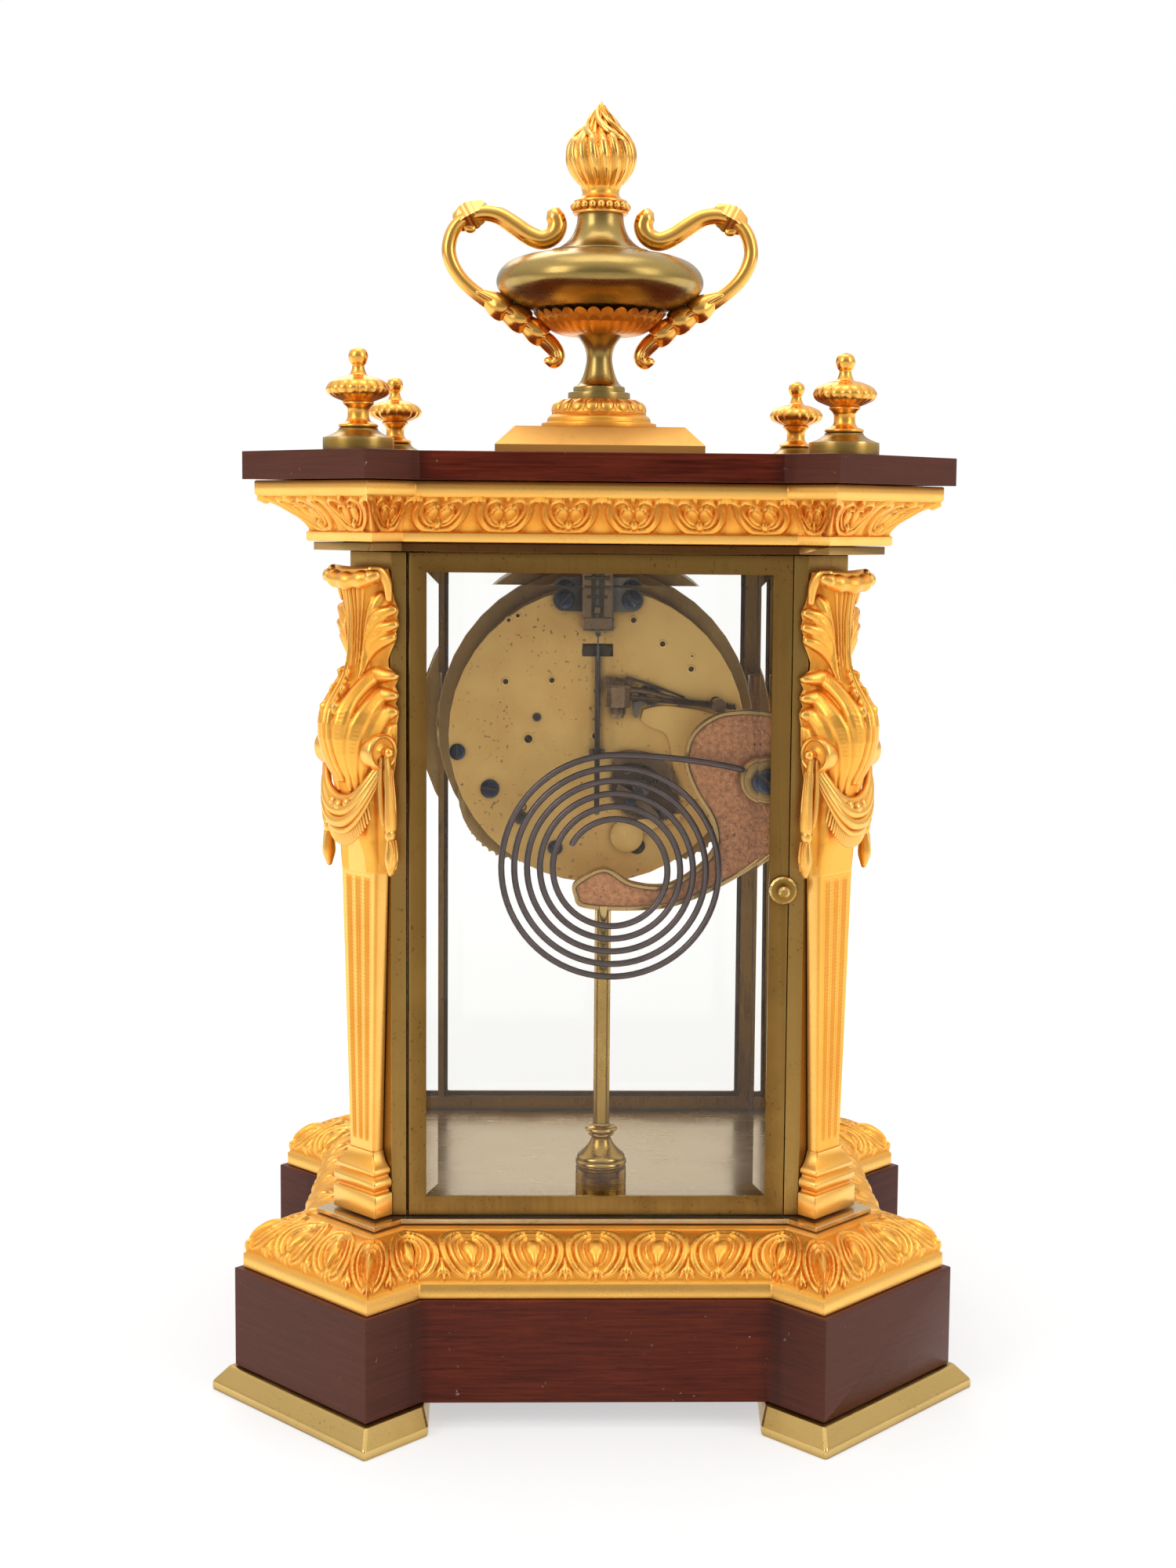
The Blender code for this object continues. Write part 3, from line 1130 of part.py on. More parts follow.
def make_hand(name, length, width, tilt, depth, bore_radius, extra):
    """A hand turned about the dial centre, seen from the dial side."""
    pivot = (0.0, 0.0, DIAL_Z)
    turn = math.radians(tilt)
    points = []
    for x, z in hand_outline(length, width):
        points.append((
            x * math.cos(turn) + z * math.sin(turn),
            DIAL_Z + z * math.cos(turn) - x * math.sin(turn),
        ))
    hand = sheet(name, points, depth - HAND_THICKNESS, depth, "blued", pivot)
    if extra:
        combine(hand, extra, "UNION")
    if bore_radius:
        bore(hand, [(0.0, DIAL_Z)], bore_radius, depth - OVERRUN * 2, FRONT_PLATE_Y + OVERRUN)
    return hand


def make_dial():
    """Dial, bezel, hands and the straps that hold the movement to the posts."""
    hub = (0.0, DIAL_Z)
    profile = [(DIAL_RADIUS, DIAL_Y + DIAL_THICKNESS), (DIAL_RADIUS, DIAL_Y)]
    dial = arbor("dial", profile, "enamel", hub, PLATE_SIDES)
    feet = []
    for number, degrees in enumerate((50, 130, 270)):
        angle = math.radians(degrees)
        reach = DIAL_RADIUS - DIAL_FOOT_INSET
        place = (reach * math.cos(angle), DIAL_Z + reach * math.sin(angle))
        profile = [(DIAL_FOOT, DIAL_Y + DIAL_THICKNESS / 2), (DIAL_FOOT, FRONT_PLATE_Y - SEAT)]
        feet.append(arbor(f"dial_foot_{number}", profile, "enamel", place, 10))
    combine(dial, feet, "UNION")
    pipe_radius = ARBOR_RADIUS + SEAT + HOUR_PIPE
    bore(dial, [hub], pipe_radius + RUNNING, DIAL_Y - OVERRUN, DIAL_Y + DIAL_THICKNESS + OVERRUN)
    barrels = [(side * BARREL_SPACING, DIAL_Z - BARREL_DROP) for side in (-1, 1)]
    bore(dial, barrels, KEY_HOLE_RADIUS + RUNNING, DIAL_Y - OVERRUN, DIAL_Y + DIAL_THICKNESS + OVERRUN)

    rear = FRONT_PLATE_Y - SEAT
    front = rear - BEZEL_LENGTH
    inside = BEZEL_RADIUS - BEZEL_WALL
    seat = BEZEL_RADIUS - BEZEL_SEAT
    section = [
        (seat, rear), (BEZEL_RADIUS, rear), (BEZEL_RADIUS, front + BEZEL_WALL),
        (BEZEL_RADIUS - BEZEL_WALL / 2, front),
        (BEZEL_RADIUS - BEZEL_LIP, front), (BEZEL_RADIUS - BEZEL_LIP, front + BEZEL_FLANGE),
        (inside, front + BEZEL_FLANGE * 2), (inside, rear - BEZEL_FLANGE), (seat, rear - BEZEL_FLANGE),
    ]
    body = bmesh.new()
    rings = []
    for radius, depth in section:
        ring = [body.verts.new((x, depth, DIAL_Z + z)) for x, z in circle(PLATE_SIDES, radius)]
        rings.append(ring)
    for number, ring in enumerate(rings):
        after = rings[(number + 1) % len(rings)]
        for index in range(PLATE_SIDES):
            follow = (index + 1) % PLATE_SIDES
            body.faces.new((ring[index], ring[follow], after[follow], after[index]))
    add_mesh("dial_bezel", body, "plate_brass")

    hour_y = DIAL_Y - HAND_GAP
    profile = [(pipe_radius, hour_y - HAND_THICKNESS / 2), (pipe_radius, FRONT_PLATE_Y - SEAT)]
    pipe = arbor("hour_pipe", profile, "blued", hub, 16)
    make_hand("hour_hand", HOUR_LENGTH, pipe_radius / 1.9, HOUR_TILT, hour_y, ARBOR_RADIUS + SEAT, [pipe])
    minute_y = hour_y - HAND_THICKNESS - HAND_GAP
    make_hand("minute_hand", MINUTE_LENGTH, pipe_radius / 2.2, MINUTE_TILT, minute_y, 0.0, [])

    inner_sum = CASE_HALF_WIDTH + CASE_HALF_DEPTH - CHAMFER_LEG - (POST_WALL + SEAT) / DIAGONAL
    start = BEZEL_RADIUS - SEAT
    depth = -front - BEZEL_WALL
    end_x = CASE_HALF_WIDTH - POST_WALL - STRAP_THICKNESS
    outline = [
        (start, depth - STRAP_THICKNESS * 1.5),
        (start + STRAP_THICKNESS, depth - STRAP_THICKNESS * 1.5),
        (end_x, inner_sum - end_x),
        (end_x - STRAP_THICKNESS, inner_sum - end_x + STRAP_THICKNESS),
        (start, depth),
    ]
    low = DIAL_Z + STRAP_RISE - STRAP_HEIGHT / 2
    for name, side in (("movement_strap_left", -1), ("movement_strap_right", 1)):
        points = [(side * x, -y) for x, y in outline]
        slab(name, points, low, low + STRAP_HEIGHT, "brass")


def gong_route():
    """The gong's rod: a lead from its boss, then a flat spiral drawn inward."""
    centre_z = DIAL_Z - GONG_CENTRE_DROP
    rim_x = BOSS_RADIUS * math.cos(math.pi / 6)
    start = (BOSS_X + rim_x + GONG_ROD / 3 + SEAT, DIAL_Z - BOSS_DROP + BOSS_RADIUS / 2)
    top = (GONG_CENTRE_X, centre_z + GONG_START_RADIUS)
    points = []
    for step in range(GONG_LEAD_POINTS):
        share = step / GONG_LEAD_POINTS
        ease = 1 - (1 - share) ** 2
        x = start[0] + (top[0] - start[0]) * share
        points.append((x, GONG_PLANE, start[1] + (top[1] - start[1]) * ease))
    count = round(GONG_TURNS * GONG_LOOP_POINTS)
    for step in range(count + 1):
        turns = GONG_TURNS * step / count
        radius = GONG_START_RADIUS - GONG_PITCH * turns
        angle = math.pi / 2 - 2 * math.pi * turns
        x = GONG_CENTRE_X + radius * math.cos(angle)
        points.append((x, GONG_PLANE, centre_z + radius * math.sin(angle)))
    return points


def least_gap(points, radius, near):
    """The least gap between a tube and itself, on points more than near apart along it."""
    travelled = [0.0]
    for before, after in zip(points, points[1:]):
        travelled.append(travelled[-1] + math.dist(before, after))
    least = math.inf
    for first, point in enumerate(points):
        for second in range(first + 1, len(points)):
            if travelled[second] - travelled[first] > near:
                least = min(least, math.dist(point, points[second]) - 2 * radius)
    return least


def make_gong():
    """Coil gong, its copper-faced casting, boss, screw and post."""
    route = gong_route()
    tube("gong_coil", route, [GONG_ROD] * len(route), "steel", 1)
    gap = least_gap(route, GONG_ROD, 20 * GONG_ROD)
    print("least gap of the gong coil to itself, mm:", round(gap / MM, 2))

    rear = GONG_PLANE - BOSS_LENGTH + SEAT
    front = rear - CASTING_THICKNESS
    drop = GONG_CENTRE_DROP
    outline_shares = [
        (-0.055, 0.9), (0.204, 1.115), (0.559, 1.31), (0.873, 1.356), (1.196, 1.335), (1.263, 1.24),
        (1.256, 1.13), (1.061, 1.01), (0.873, 1.125), (0.64, 1.145), (0.439, 1.01), (0.329, 0.86),
        (0.313, 0.745), (0.347, 0.6), (0.432, 0.44), (0.487, 0.31), (0.521, 0.19), (0.523, 0.075),
        (0.493, -0.05), (0.421, -0.155), (0.31, -0.235), (0.188, -0.265), (0.044, -0.265), (-0.111, -0.21),
        (-0.244, -0.08), (-0.332, 0.1), (-0.354, 0.32), (-0.31, 0.54), (-0.222, 0.72),
    ]
    outline = [(BOSS_X + BOSS_REACH * x, DIAL_Z - drop * z) for x, z in outline_shares]
    casting = sheet("gong_casting", outline, front, rear, "copper")
    screw_place = (BOSS_X, DIAL_Z - BOSS_DROP)
    bore(casting, [screw_place], SCREW_SHANK + SEAT, front - OVERRUN, rear + OVERRUN)

    boss_y = rear + SEAT
    profile = [(BOSS_RADIUS, boss_y), (BOSS_RADIUS, boss_y + BOSS_LENGTH)]
    boss = arbor("gong_boss", profile, "plate_brass", screw_place, 24)
    bore(boss, [screw_place], SCREW_SHANK + SEAT, boss_y - OVERRUN, boss_y + BOSS_LENGTH + OVERRUN)
    head_y = boss_y + BOSS_LENGTH + SEAT
    profile = [
        (SCREW_SHANK, front), (SCREW_SHANK, head_y), (SCREW_HEAD, head_y),
        (SCREW_HEAD, head_y + SCREW_HEAD_HEIGHT * 0.8), (SCREW_HEAD * 0.85, head_y + SCREW_HEAD_HEIGHT),
    ]
    screw = arbor("gong_screw", profile, "blued", screw_place, 20)
    slit = box(
        "gong_screw_slit",
        (BOSS_X - SCREW_HEAD * 2, head_y + SCREW_HEAD_HEIGHT * 0.5, screw_place[1] - SCREW_SLIT / 2),
        (BOSS_X + SCREW_HEAD * 2, head_y + SCREW_HEAD_HEIGHT * 2, screw_place[1] + SCREW_SLIT / 2),
        "blued",
    )
    combine(screw, [slit], "DIFFERENCE")

    rod = GONG_POST_RADIUS
    foot = GONG_FOOT_RADIUS
    post_top_share = 1.352
    post_y = rear - CASTING_THICKNESS / 2
    tall = DIAL_Z - post_top_share * drop - SEAT - CASE_Z
    shares = [
        (foot, 0.0), (foot, 0.085), (foot * 0.85, 0.095), (foot, 0.105), (foot * 0.95, 0.125),
        (foot * 0.6, 0.15), (foot * 0.36, 0.175), (foot * 0.45, 0.20), (foot * 0.62, 0.225),
        (rod, 0.245), (rod, 1.0),
    ]
    profile = [(radius, CASE_Z + tall * height) for radius, height in shares]
    upright("gong_post", profile, "brass", (GONG_POST_X, post_y), 18)


def make_hammer():
    """The strike hammer: an arbor in the plates, an arm and a tipped head."""
    pivot_z = DIAL_Z + HAMMER_PIVOT_RISE
    pivot = (HAMMER_PIVOT_X, 0.0, pivot_z)
    profile = [
        (PIVOT_RADIUS, FRONT_PLATE_Y),
        (PIVOT_RADIUS, FRONT_INSIDE + SEAT),
        (ARBOR_RADIUS, FRONT_INSIDE + SEAT),
        (ARBOR_RADIUS, HAMMER_PLANE - HAMMER_HUB),
        (HAMMER_HUB, HAMMER_PLANE - HAMMER_HUB),
        (HAMMER_HUB, HAMMER_PLANE + HAMMER_HUB),
    ]
    hammer = arbor("strike_hammer", profile, "plate_brass", (HAMMER_PIVOT_X, pivot_z), 14, pivot)
    head_z = DIAL_Z + HAMMER_RISE
    start = Vector((HAMMER_PIVOT_X, HAMMER_PLANE, pivot_z))
    end = Vector((HAMMER_X, GONG_PLANE, head_z))
    arm = rod_between("hammer_arm", start, end, HAMMER_ARM, "plate_brass")
    head = HAMMER_HEAD_RADIUS
    tip = head * 0.62
    profile = [
        (tip * 0.7, head_z - HAMMER_HEAD_HEIGHT / 2 - HAMMER_TIP),
        (tip, head_z - HAMMER_HEAD_HEIGHT / 2 - HAMMER_TIP * 0.6),
        (tip, head_z - HAMMER_HEAD_HEIGHT / 2),
        (head, head_z - HAMMER_HEAD_HEIGHT / 2),
        (head, head_z + HAMMER_HEAD_HEIGHT / 2),
    ]
    block = upright("hammer_head", profile, "plate_brass", (HAMMER_X, GONG_PLANE), 12)
    combine(hammer, [arm, block], "UNION")


def main():
    for old in list(bpy.data.objects):
        bpy.data.objects.remove(old, do_unlink=True)
    make_feet()
    make_base()
    make_posts()
    make_consoles()
    make_door("rear_door", 1)
    make_door("front_door", -1)
    make_side("left", -1)
    make_side("right", 1)
    make_top()
    make_urn()
    make_finials()
    make_plates()
    make_barrels()
    make_train()
    make_suspension()
    make_dial()
    make_gong()
    make_hammer()


main()
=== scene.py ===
"""Crystal mantel clock: gilt mounts, aged brass, mahogany and a striking movement.

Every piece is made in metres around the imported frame. The dial looks toward -Y
and the rear door toward +Y, which is the side that the camera sees.
"""
import math

import bmesh
import bpy
import numpy as np
from mathutils import Matrix, Vector


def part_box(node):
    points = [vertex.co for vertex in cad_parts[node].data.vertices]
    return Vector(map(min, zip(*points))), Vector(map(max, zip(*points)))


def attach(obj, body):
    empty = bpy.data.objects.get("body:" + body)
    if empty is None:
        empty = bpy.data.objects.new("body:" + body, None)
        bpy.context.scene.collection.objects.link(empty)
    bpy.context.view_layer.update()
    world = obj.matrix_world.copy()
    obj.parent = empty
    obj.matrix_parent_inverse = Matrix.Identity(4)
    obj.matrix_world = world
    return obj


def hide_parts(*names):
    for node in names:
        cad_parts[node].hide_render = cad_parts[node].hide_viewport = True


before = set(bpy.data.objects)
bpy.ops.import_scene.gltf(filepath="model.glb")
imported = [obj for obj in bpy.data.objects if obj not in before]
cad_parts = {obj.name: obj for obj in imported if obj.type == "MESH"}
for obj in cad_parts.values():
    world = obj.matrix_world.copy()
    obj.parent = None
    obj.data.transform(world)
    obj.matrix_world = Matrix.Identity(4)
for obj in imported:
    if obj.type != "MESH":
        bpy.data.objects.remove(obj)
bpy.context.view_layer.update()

MM = 0.001
DIAGONAL = math.sqrt(0.5)
SEAT = 0.3 * MM
SQUARE = ((-1, -1), (1, -1), (1, 1), (-1, 1))

# Plan of the base and cornice, as the frame has it
CHAMFER_X = 75.9 * MM
CHAMFER_Y = 60.1 * MM
PIER_REACH = 31.5 * MM
PIER_HALF_WIDTH = 34.9 * MM
WALL_BEYOND_FACE = 7.9 * MM
CORNERS = {
    "front_left": (-1, -1),
    "front_right": (1, -1),
    "back_left": (-1, 1),
    "back_right": (1, 1),
}

# Heights read from the frame
moulding_low, moulding_high = (corner.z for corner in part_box("base_moulding"))
cornice_low, cornice_high = (corner.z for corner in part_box("cornice_moulding"))
DIAL_Z = sum(corner.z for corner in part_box("dial")) / 2
PLATE_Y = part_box("rear_movement_plate")[1].y


# Meshes

def smooth_route(points, steps):
    """Points on a smooth curve through the given rows, whatever their columns hold."""
    rows = np.asarray(points, float)
    rows = np.vstack([2 * rows[0] - rows[1], rows, 2 * rows[-1] - rows[-2]])
    share = np.linspace(0, 1, steps, endpoint=False)[:, None]
    made = []
    for index in range(1, len(rows) - 2):
        before, start, end, after = rows[index - 1:index + 3]
        made.append(0.5 * (
            2 * start + (end - before) * share
            + (2 * before - 5 * start + 4 * end - after) * share ** 2
            + (3 * start - before - 3 * end + after) * share ** 3
        ))
    made.append(rows[-2][None])
    return np.vstack(made)


def unit(rows):
    """Rows of vectors scaled to length one."""
    return rows / np.maximum(np.linalg.norm(rows, axis=-1, keepdims=True), 1e-12)


def around(count):
    """Angles evenly spaced round a full turn."""
    return np.linspace(0, 2 * math.pi, count, endpoint=False)


def at_depth(plan, depth):
    """Rows of x and z as points at one depth along Y."""
    return np.column_stack([plan[:, 0], np.full(len(plan), depth), plan[:, 1]])


def linked(name, data):
    """A new object for this data, linked to the scene."""
    made = bpy.data.objects.new(name, data)
    bpy.context.scene.collection.objects.link(made)
    return made


def hoop(centre, radius, depth, sides):
    """A circle of points about an axis along Y."""
    angle = around(sides)
    return np.stack([
        centre[0] + radius * np.cos(angle), 0 * angle + depth, centre[1] + radius * np.sin(angle),
    ], -1)


class Shape:
    """Surfaces gathered for one piece, before they become its mesh."""

    def __init__(self):
        self.points = []
        self.faces = []
        self.recess = []
        self.count = 0

    def grid(self, points, recess=None, wrap_rows=False, wrap_cols=False, caps=False):
        """Add a net of points, open or closed round, with flat ends if caps is set."""
        rows, cols = points.shape[:2]
        row = np.arange(rows if wrap_rows else rows - 1)
        col = np.arange(cols if wrap_cols else cols - 1)
        row, col = (part.ravel() for part in np.meshgrid(row, col, indexing="ij"))
        next_row, next_col = (row + 1) % rows, (col + 1) % cols
        quads = np.stack([
            row * cols + col, row * cols + next_col,
            next_row * cols + next_col, next_row * cols + col,
        ], -1) + self.count
        self.faces += quads.tolist()
        if caps:
            first = np.arange(cols) + self.count
            self.faces += [first.tolist(), (first + (rows - 1) * cols).tolist()]
        self.points.append(points.reshape(-1, 3))
        flat = np.zeros(rows * cols) if recess is None else np.asarray(recess).ravel()
        self.recess.append(flat)
        self.count += rows * cols

    def tube(self, rings, recess=None):
        """Join rings of points into a tube with flat ends."""
        self.grid(np.array(rings), recess, wrap_cols=True, caps=True)

    def lathe(self, rings, base, centre=(0.0, 0.0), sides=96, steps=6, flutes=0, twist=0.0):
        """Turn rings of radius, height above base and flute depth, all in millimetres."""
        columns = np.array(rings, float)
        columns[:, 1] += base
        line = smooth_route(columns * MM, steps)
        angle = around(sides)[None]
        radius = np.maximum(line[:, :1], 1e-5) + 0 * angle
        height = line[:, 1:2] + 0 * angle
        cut = 0 * radius
        if flutes:
            turn = twist * (height - height.min())
            lobe = np.abs(np.cos((angle * flutes + turn) / 2))
            cut = line[:, 2:3] * (1 - lobe ** 0.8)
        radius = np.maximum(radius - cut, 1e-5)
        points = np.stack([
            centre[0] + radius * np.cos(angle), centre[1] + radius * np.sin(angle), height,
        ], -1)
        self.tube(points, cut / max(cut.max(), 1e-9))

    def strand(self, route, widths, thickness=1.0, face=(0, 0, 1), sides=10, steps=4):
        """A tapered round or flattened bar along a route, with rounded ends."""
        flat = np.broadcast_to(np.asarray(thickness, float), (len(route),))
        line = smooth_route(np.column_stack([np.asarray(route, float), widths, flat]), steps)
        centre, radius, flat = line[:, :3], np.maximum(line[:, 3], 2e-5), line[:, 4]
        tangent = unit(np.gradient(centre, axis=0))
        rings = [(0.98, 0.18), (0.72, 0.69)]
        low = [centre[0] - tangent[0] * radius[0] * out for out, _ in rings]
        high = [centre[-1] + tangent[-1] * radius[-1] * out for out, _ in rings]
        centre = np.vstack([low, centre, high[::-1]])
        radius = np.concatenate([
            [radius[0] * size for _, size in rings], radius,
            [radius[-1] * size for _, size in rings[::-1]],
        ])
        flat = np.concatenate([[flat[0]] * 2, flat, [flat[-1]] * 2])
        tangent = np.vstack([[tangent[0]] * 2, tangent, [tangent[-1]] * 2])
        normal = np.zeros_like(centre)
        carried = np.asarray(face, float)
        for index, along in enumerate(tangent):
            carried = carried - np.dot(carried, along) * along
            carried = carried / max(np.linalg.norm(carried), 1e-9)
            normal[index] = carried
        side = np.cross(tangent, normal)
        angle = around(sides)
        across = side[:, None] * np.cos(angle)[None, :, None]
        outward = normal[:, None] * np.sin(angle)[None, :, None] * flat[:, None, None]
        self.tube(centre[:, None] + (across + outward) * radius[:, None, None])

    def pair(self, route, widths, thickness=1.0, face=(0, 1, 0), sides=10, steps=4):
        """A strand and its mirror image across x."""
        for hand in (1, -1):
            turned = [(hand * x, y, z) for x, y, z in route]
            self.strand(turned, widths, thickness, face, sides, steps)

    def ball(self, centre, size, sides=14, rows=9):
        """A boss: a ball stretched to three half-sizes."""
        tilt = np.linspace(0.04, math.pi - 0.04, rows)[:, None]
        turn = around(sides)[None]
        size = np.broadcast_to(np.asarray(size, float), (3,))
        self.tube(np.stack([
            centre[0] + size[0] * np.sin(tilt) * np.cos(turn),
            centre[1] + size[1] * np.sin(tilt) * np.sin(turn),
            centre[2] + size[2] * np.cos(tilt) + 0 * turn,
        ], -1))

    def disc(self, centre, radius, back, front, sides=40, dome=0.0, bevel=0.12):
        """A turned disc whose axis runs along Y, with a soft edge."""
        lip = bevel * (front - back)
        inset = abs(lip)
        profile = [
            (radius, back), (radius, front - lip), (radius - inset * 0.4, front - lip * 0.3),
            (radius - inset * 1.2, front), (radius * 0.55, front + dome * 0.7), (1e-5, front + dome),
        ]
        self.tube([hoop(centre, reach, depth, sides) for reach, depth in profile])

    def slab(self, outline, low, high, bevel=0.0):
        """An outline of x and z given thickness along Y, with a small bevel on its far side."""
        flat = np.asarray(outline, float)
        shrunk = flat + unit(flat.mean(0) - flat) * bevel
        levels = [(flat, low), (flat, high - math.copysign(bevel, high - low)), (shrunk, high)]
        self.tube([at_depth(plan, level) for plan, level in levels])

    def moved(self, change):
        """A copy of the shape with every point changed by a function."""
        other = Shape()
        other.points = [change(part) for part in self.points]
        other.faces = [list(face) for face in self.faces]
        other.recess = list(self.recess)
        other.count = self.count
        return other

    def piece(self, name, finish, slot, replaces=(), sharp=38):
        """Make the mesh object, give it its finish and set it on the case."""
        mesh = bpy.data.meshes.new(name)
        mesh.from_pydata(np.concatenate(self.points).tolist(), [], self.faces)
        # The recess attribute marks carved hollows, which the metals darken as painted shade.
        mesh.attributes.new("recess", "FLOAT", "POINT").data.foreach_set(
            "value", np.concatenate(self.recess).astype(np.float32))
        work = bmesh.new()
        work.from_mesh(mesh)
        bmesh.ops.remove_doubles(work, verts=work.verts, dist=2e-6)
        bmesh.ops.recalc_face_normals(work, faces=work.faces)
        work.to_mesh(mesh)
        work.free()
        mesh.shade_smooth()
        mesh.set_sharp_from_angle(angle=math.radians(sharp))
        mesh.materials.append(finish)
        made = linked(name, mesh)
        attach(made, "case")
        if replaces:
            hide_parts(*replaces)
        return made


class Carving:
    """A motif as heights over a flat tile, cut with strokes and bosses. Lengths in millimetres."""

    def __init__(self, width, height, grain=0.14):
        self.width = width
        self.height = height
        columns = np.linspace(-width / 2, width / 2, int(width / grain) + 1)
        rows = np.linspace(0, height, int(height / grain) + 1)
        self.x, self.y = np.meshgrid(columns, rows)
        self.level = np.zeros_like(self.x)

    def stroke(self, route, widths, heights, groove=0.0, both=True):
        """Raise a rounded, tapering ridge along a route, with a groove down its middle."""
        columns = np.column_stack([np.asarray(route, float), widths, heights])
        line = smooth_route(columns, 5)
        for mirror in ((1, -1) if both else (1,)):
            for start, end in zip(line, line[1:]):
                self.ridge(start, end, mirror, groove)

    def ridge(self, start, end, mirror, groove):
        """Raise one straight bit of a stroke, within the window that it reaches."""
        reach = max(start[2], end[2])
        rows, cols = self.level.shape
        left, right = sorted((start[0] * mirror, end[0] * mirror))
        low, high = sorted((start[1], end[1]))
        first_col = max(0, int(((left - reach) / self.width + 0.5) * (cols - 1)))
        last_col = min(cols, int(((right + reach) / self.width + 0.5) * (cols - 1)) + 2)
        first_row = max(0, int((low - reach) / self.height * (rows - 1)))
        last_row = min(rows, int((high + reach) / self.height * (rows - 1)) + 2)
        if first_col >= last_col or first_row >= last_row:
            return
        window = (slice(first_row, last_row), slice(first_col, last_col))
        x, y = self.x[window] * mirror, self.y[window]
        step = end[:2] - start[:2]
        length = max(float(step @ step), 1e-9)
        along = np.clip(((x - start[0]) * step[0] + (y - start[1]) * step[1]) / length, 0, 1)
        off_x = x - start[0] - along * step[0]
        off_y = y - start[1] - along * step[1]
        width = start[2] + along * (end[2] - start[2])
        tall = start[3] + along * (end[3] - start[3])
        away = np.sqrt(off_x ** 2 + off_y ** 2) / np.maximum(width, 1e-6)
        crest = tall * np.clip(1 - away ** 2, 0, 1) ** 0.6
        crest = crest * (1 - groove * np.exp(-(away / 0.3) ** 2))
        self.level[window] = np.maximum(self.level[window], crest)

    def boss(self, centre, size, tall, both=True, point=0.0):
        """Raise a dome, drawn to a point at its foot where point is above zero."""
        for mirror in ((1, -1) if both else (1,)):
            rise = (self.y - centre[1]) / size[1]
            width = size[0] * (1 - point * np.clip(-rise, 0, 1) ** 0.8)
            away = ((self.x * mirror - centre[0]) / np.maximum(width, 1e-6)) ** 2 + rise ** 2
            self.level = np.maximum(self.level, tall * np.clip(1 - away, 0, 1) ** 0.5)

    def sample(self, x, y):
        """Heights in metres at places on the tile in millimetres."""
        rows, cols = self.level.shape
        column = np.clip((x / self.width + 0.5) * (cols - 1), 0, cols - 1.001)
        row = np.clip(y / self.height * (rows - 1), 0, rows - 1.001)
        c, r = column.astype(int), row.astype(int)
        fc, fr = column - c, row - r
        level = self.level
        low = level[r, c] * (1 - fc) + level[r, c + 1] * fc
        high = level[r + 1, c] * (1 - fc) + level[r + 1, c + 1] * fc
        return (low * (1 - fr) + high * fr) * MM


# Materials

class Wiring:
    """Adds shader nodes to one tree and joins them."""

    def __init__(self, tree):
        self.tree = tree

    def feed(self, socket, value):
        if isinstance(value, bpy.types.NodeSocket):
            self.tree.links.new(value, socket)
        else:
            socket.default_value = value

    def fill(self, node, values):
        """Feed several inputs of one node."""
        for key, value in values.items():
            self.feed(node.inputs[key], value)

    def node(self, kind, inputs=None, **settings):
        made = self.tree.nodes.new("ShaderNode" + kind)
        for key, value in settings.items():
            setattr(made, key, value)
        self.fill(made, inputs or {})
        return made

    def math(self, operation, first, second=0.0, clamp=False):
        made = self.node("Math", {0: first, 1: second}, operation=operation, use_clamp=clamp)
        return made.outputs[0]

    def times(self, first, second):
        return self.math("MULTIPLY", first, second)

    def mix(self, share, first, second):
        made = self.node("Mix", {0: share, 6: first, 7: second}, data_type="RGBA")
        return made.outputs[2]

    def span(self, value, low, high, to_low=0.0, to_high=1.0):
        inputs = {"Value": value, "From Min": low, "From Max": high, "To Min": to_low, "To Max": to_high}
        return self.node("MapRange", inputs, clamp=True).outputs[0]

    def place(self, stretch=(1, 1, 1)):
        """Object coordinates in metres, stretched."""
        coordinates = self.node("TexCoord").outputs["Object"]
        return self.node("Mapping", {"Vector": coordinates, "Scale": stretch}).outputs[0]

    def noise(self, vector, scale, detail=3.0, rough=0.55):
        inputs = {"Vector": vector, "Scale": scale, "Detail": detail, "Roughness": rough}
        return self.node("TexNoise", inputs).outputs["Fac"]


def make_group(name, inputs, outputs, wire):
    """A shader node group with named inputs and outputs, wired by a function."""
    tree = bpy.data.node_groups.new(name, "ShaderNodeTree")
    for label, kind, value in inputs:
        tree.interface.new_socket(label, in_out="INPUT", socket_type=kind).default_value = value
    for label in outputs:
        tree.interface.new_socket(label, in_out="OUTPUT", socket_type="NodeSocketFloat")
    entry = tree.nodes.new("NodeGroupInput")
    leave = tree.nodes.new("NodeGroupOutput")
    wire(Wiring(tree), entry.outputs, leave.inputs)
    return tree


def wire_wear_and_shade(w, given, out):
    """Rubbed high points, lighter as wear and as painted highlight, and painted shade with some dirt in
    the hollows.
    """
    point = w.node("NewGeometry").outputs["Pointiness"]
    # painted shade: ambient occlusion darkens creases and the gaps between parts
    shelter = w.node("AmbientOcclusion", {"Distance": given["Reach"]}, samples=6).outputs["AO"]
    carved = w.node("Attribute", attribute_name="recess").outputs["Fac"]
    # convex edges: rubbed wear and painted highlight
    w.feed(out["Edge"], w.span(point, 0.505, 0.56))
    hollow = w.span(point, 0.497, 0.43)
    deep = w.span(shelter, 0.95, 0.35)
    # concave curvature and carved recesses: painted shade with some dirt
    shade_and_dirt = w.math("MAXIMUM", hollow, w.times(carved, 0.7))
    w.feed(out["Hollow Shade And Dirt"], w.math("MAXIMUM", shade_and_dirt, deep))


def wire_tarnish(w, given, out):
    """Broad clouds of tarnish and small dark flecks."""
    place = w.place()
    cloud = w.noise(place, given["Cloud Scale"], 5.0, 0.6)
    w.feed(out["Cloud"], w.span(cloud, 0.38, 0.66))
    patch = w.span(w.noise(place, given["Cloud Scale"], 2.0), 0.42, 0.6)
    fleck = w.noise(place, given["Fleck Scale"], 2.0, 0.5)
    w.feed(out["Fleck"], w.times(w.span(fleck, 0.64, 0.70), patch))


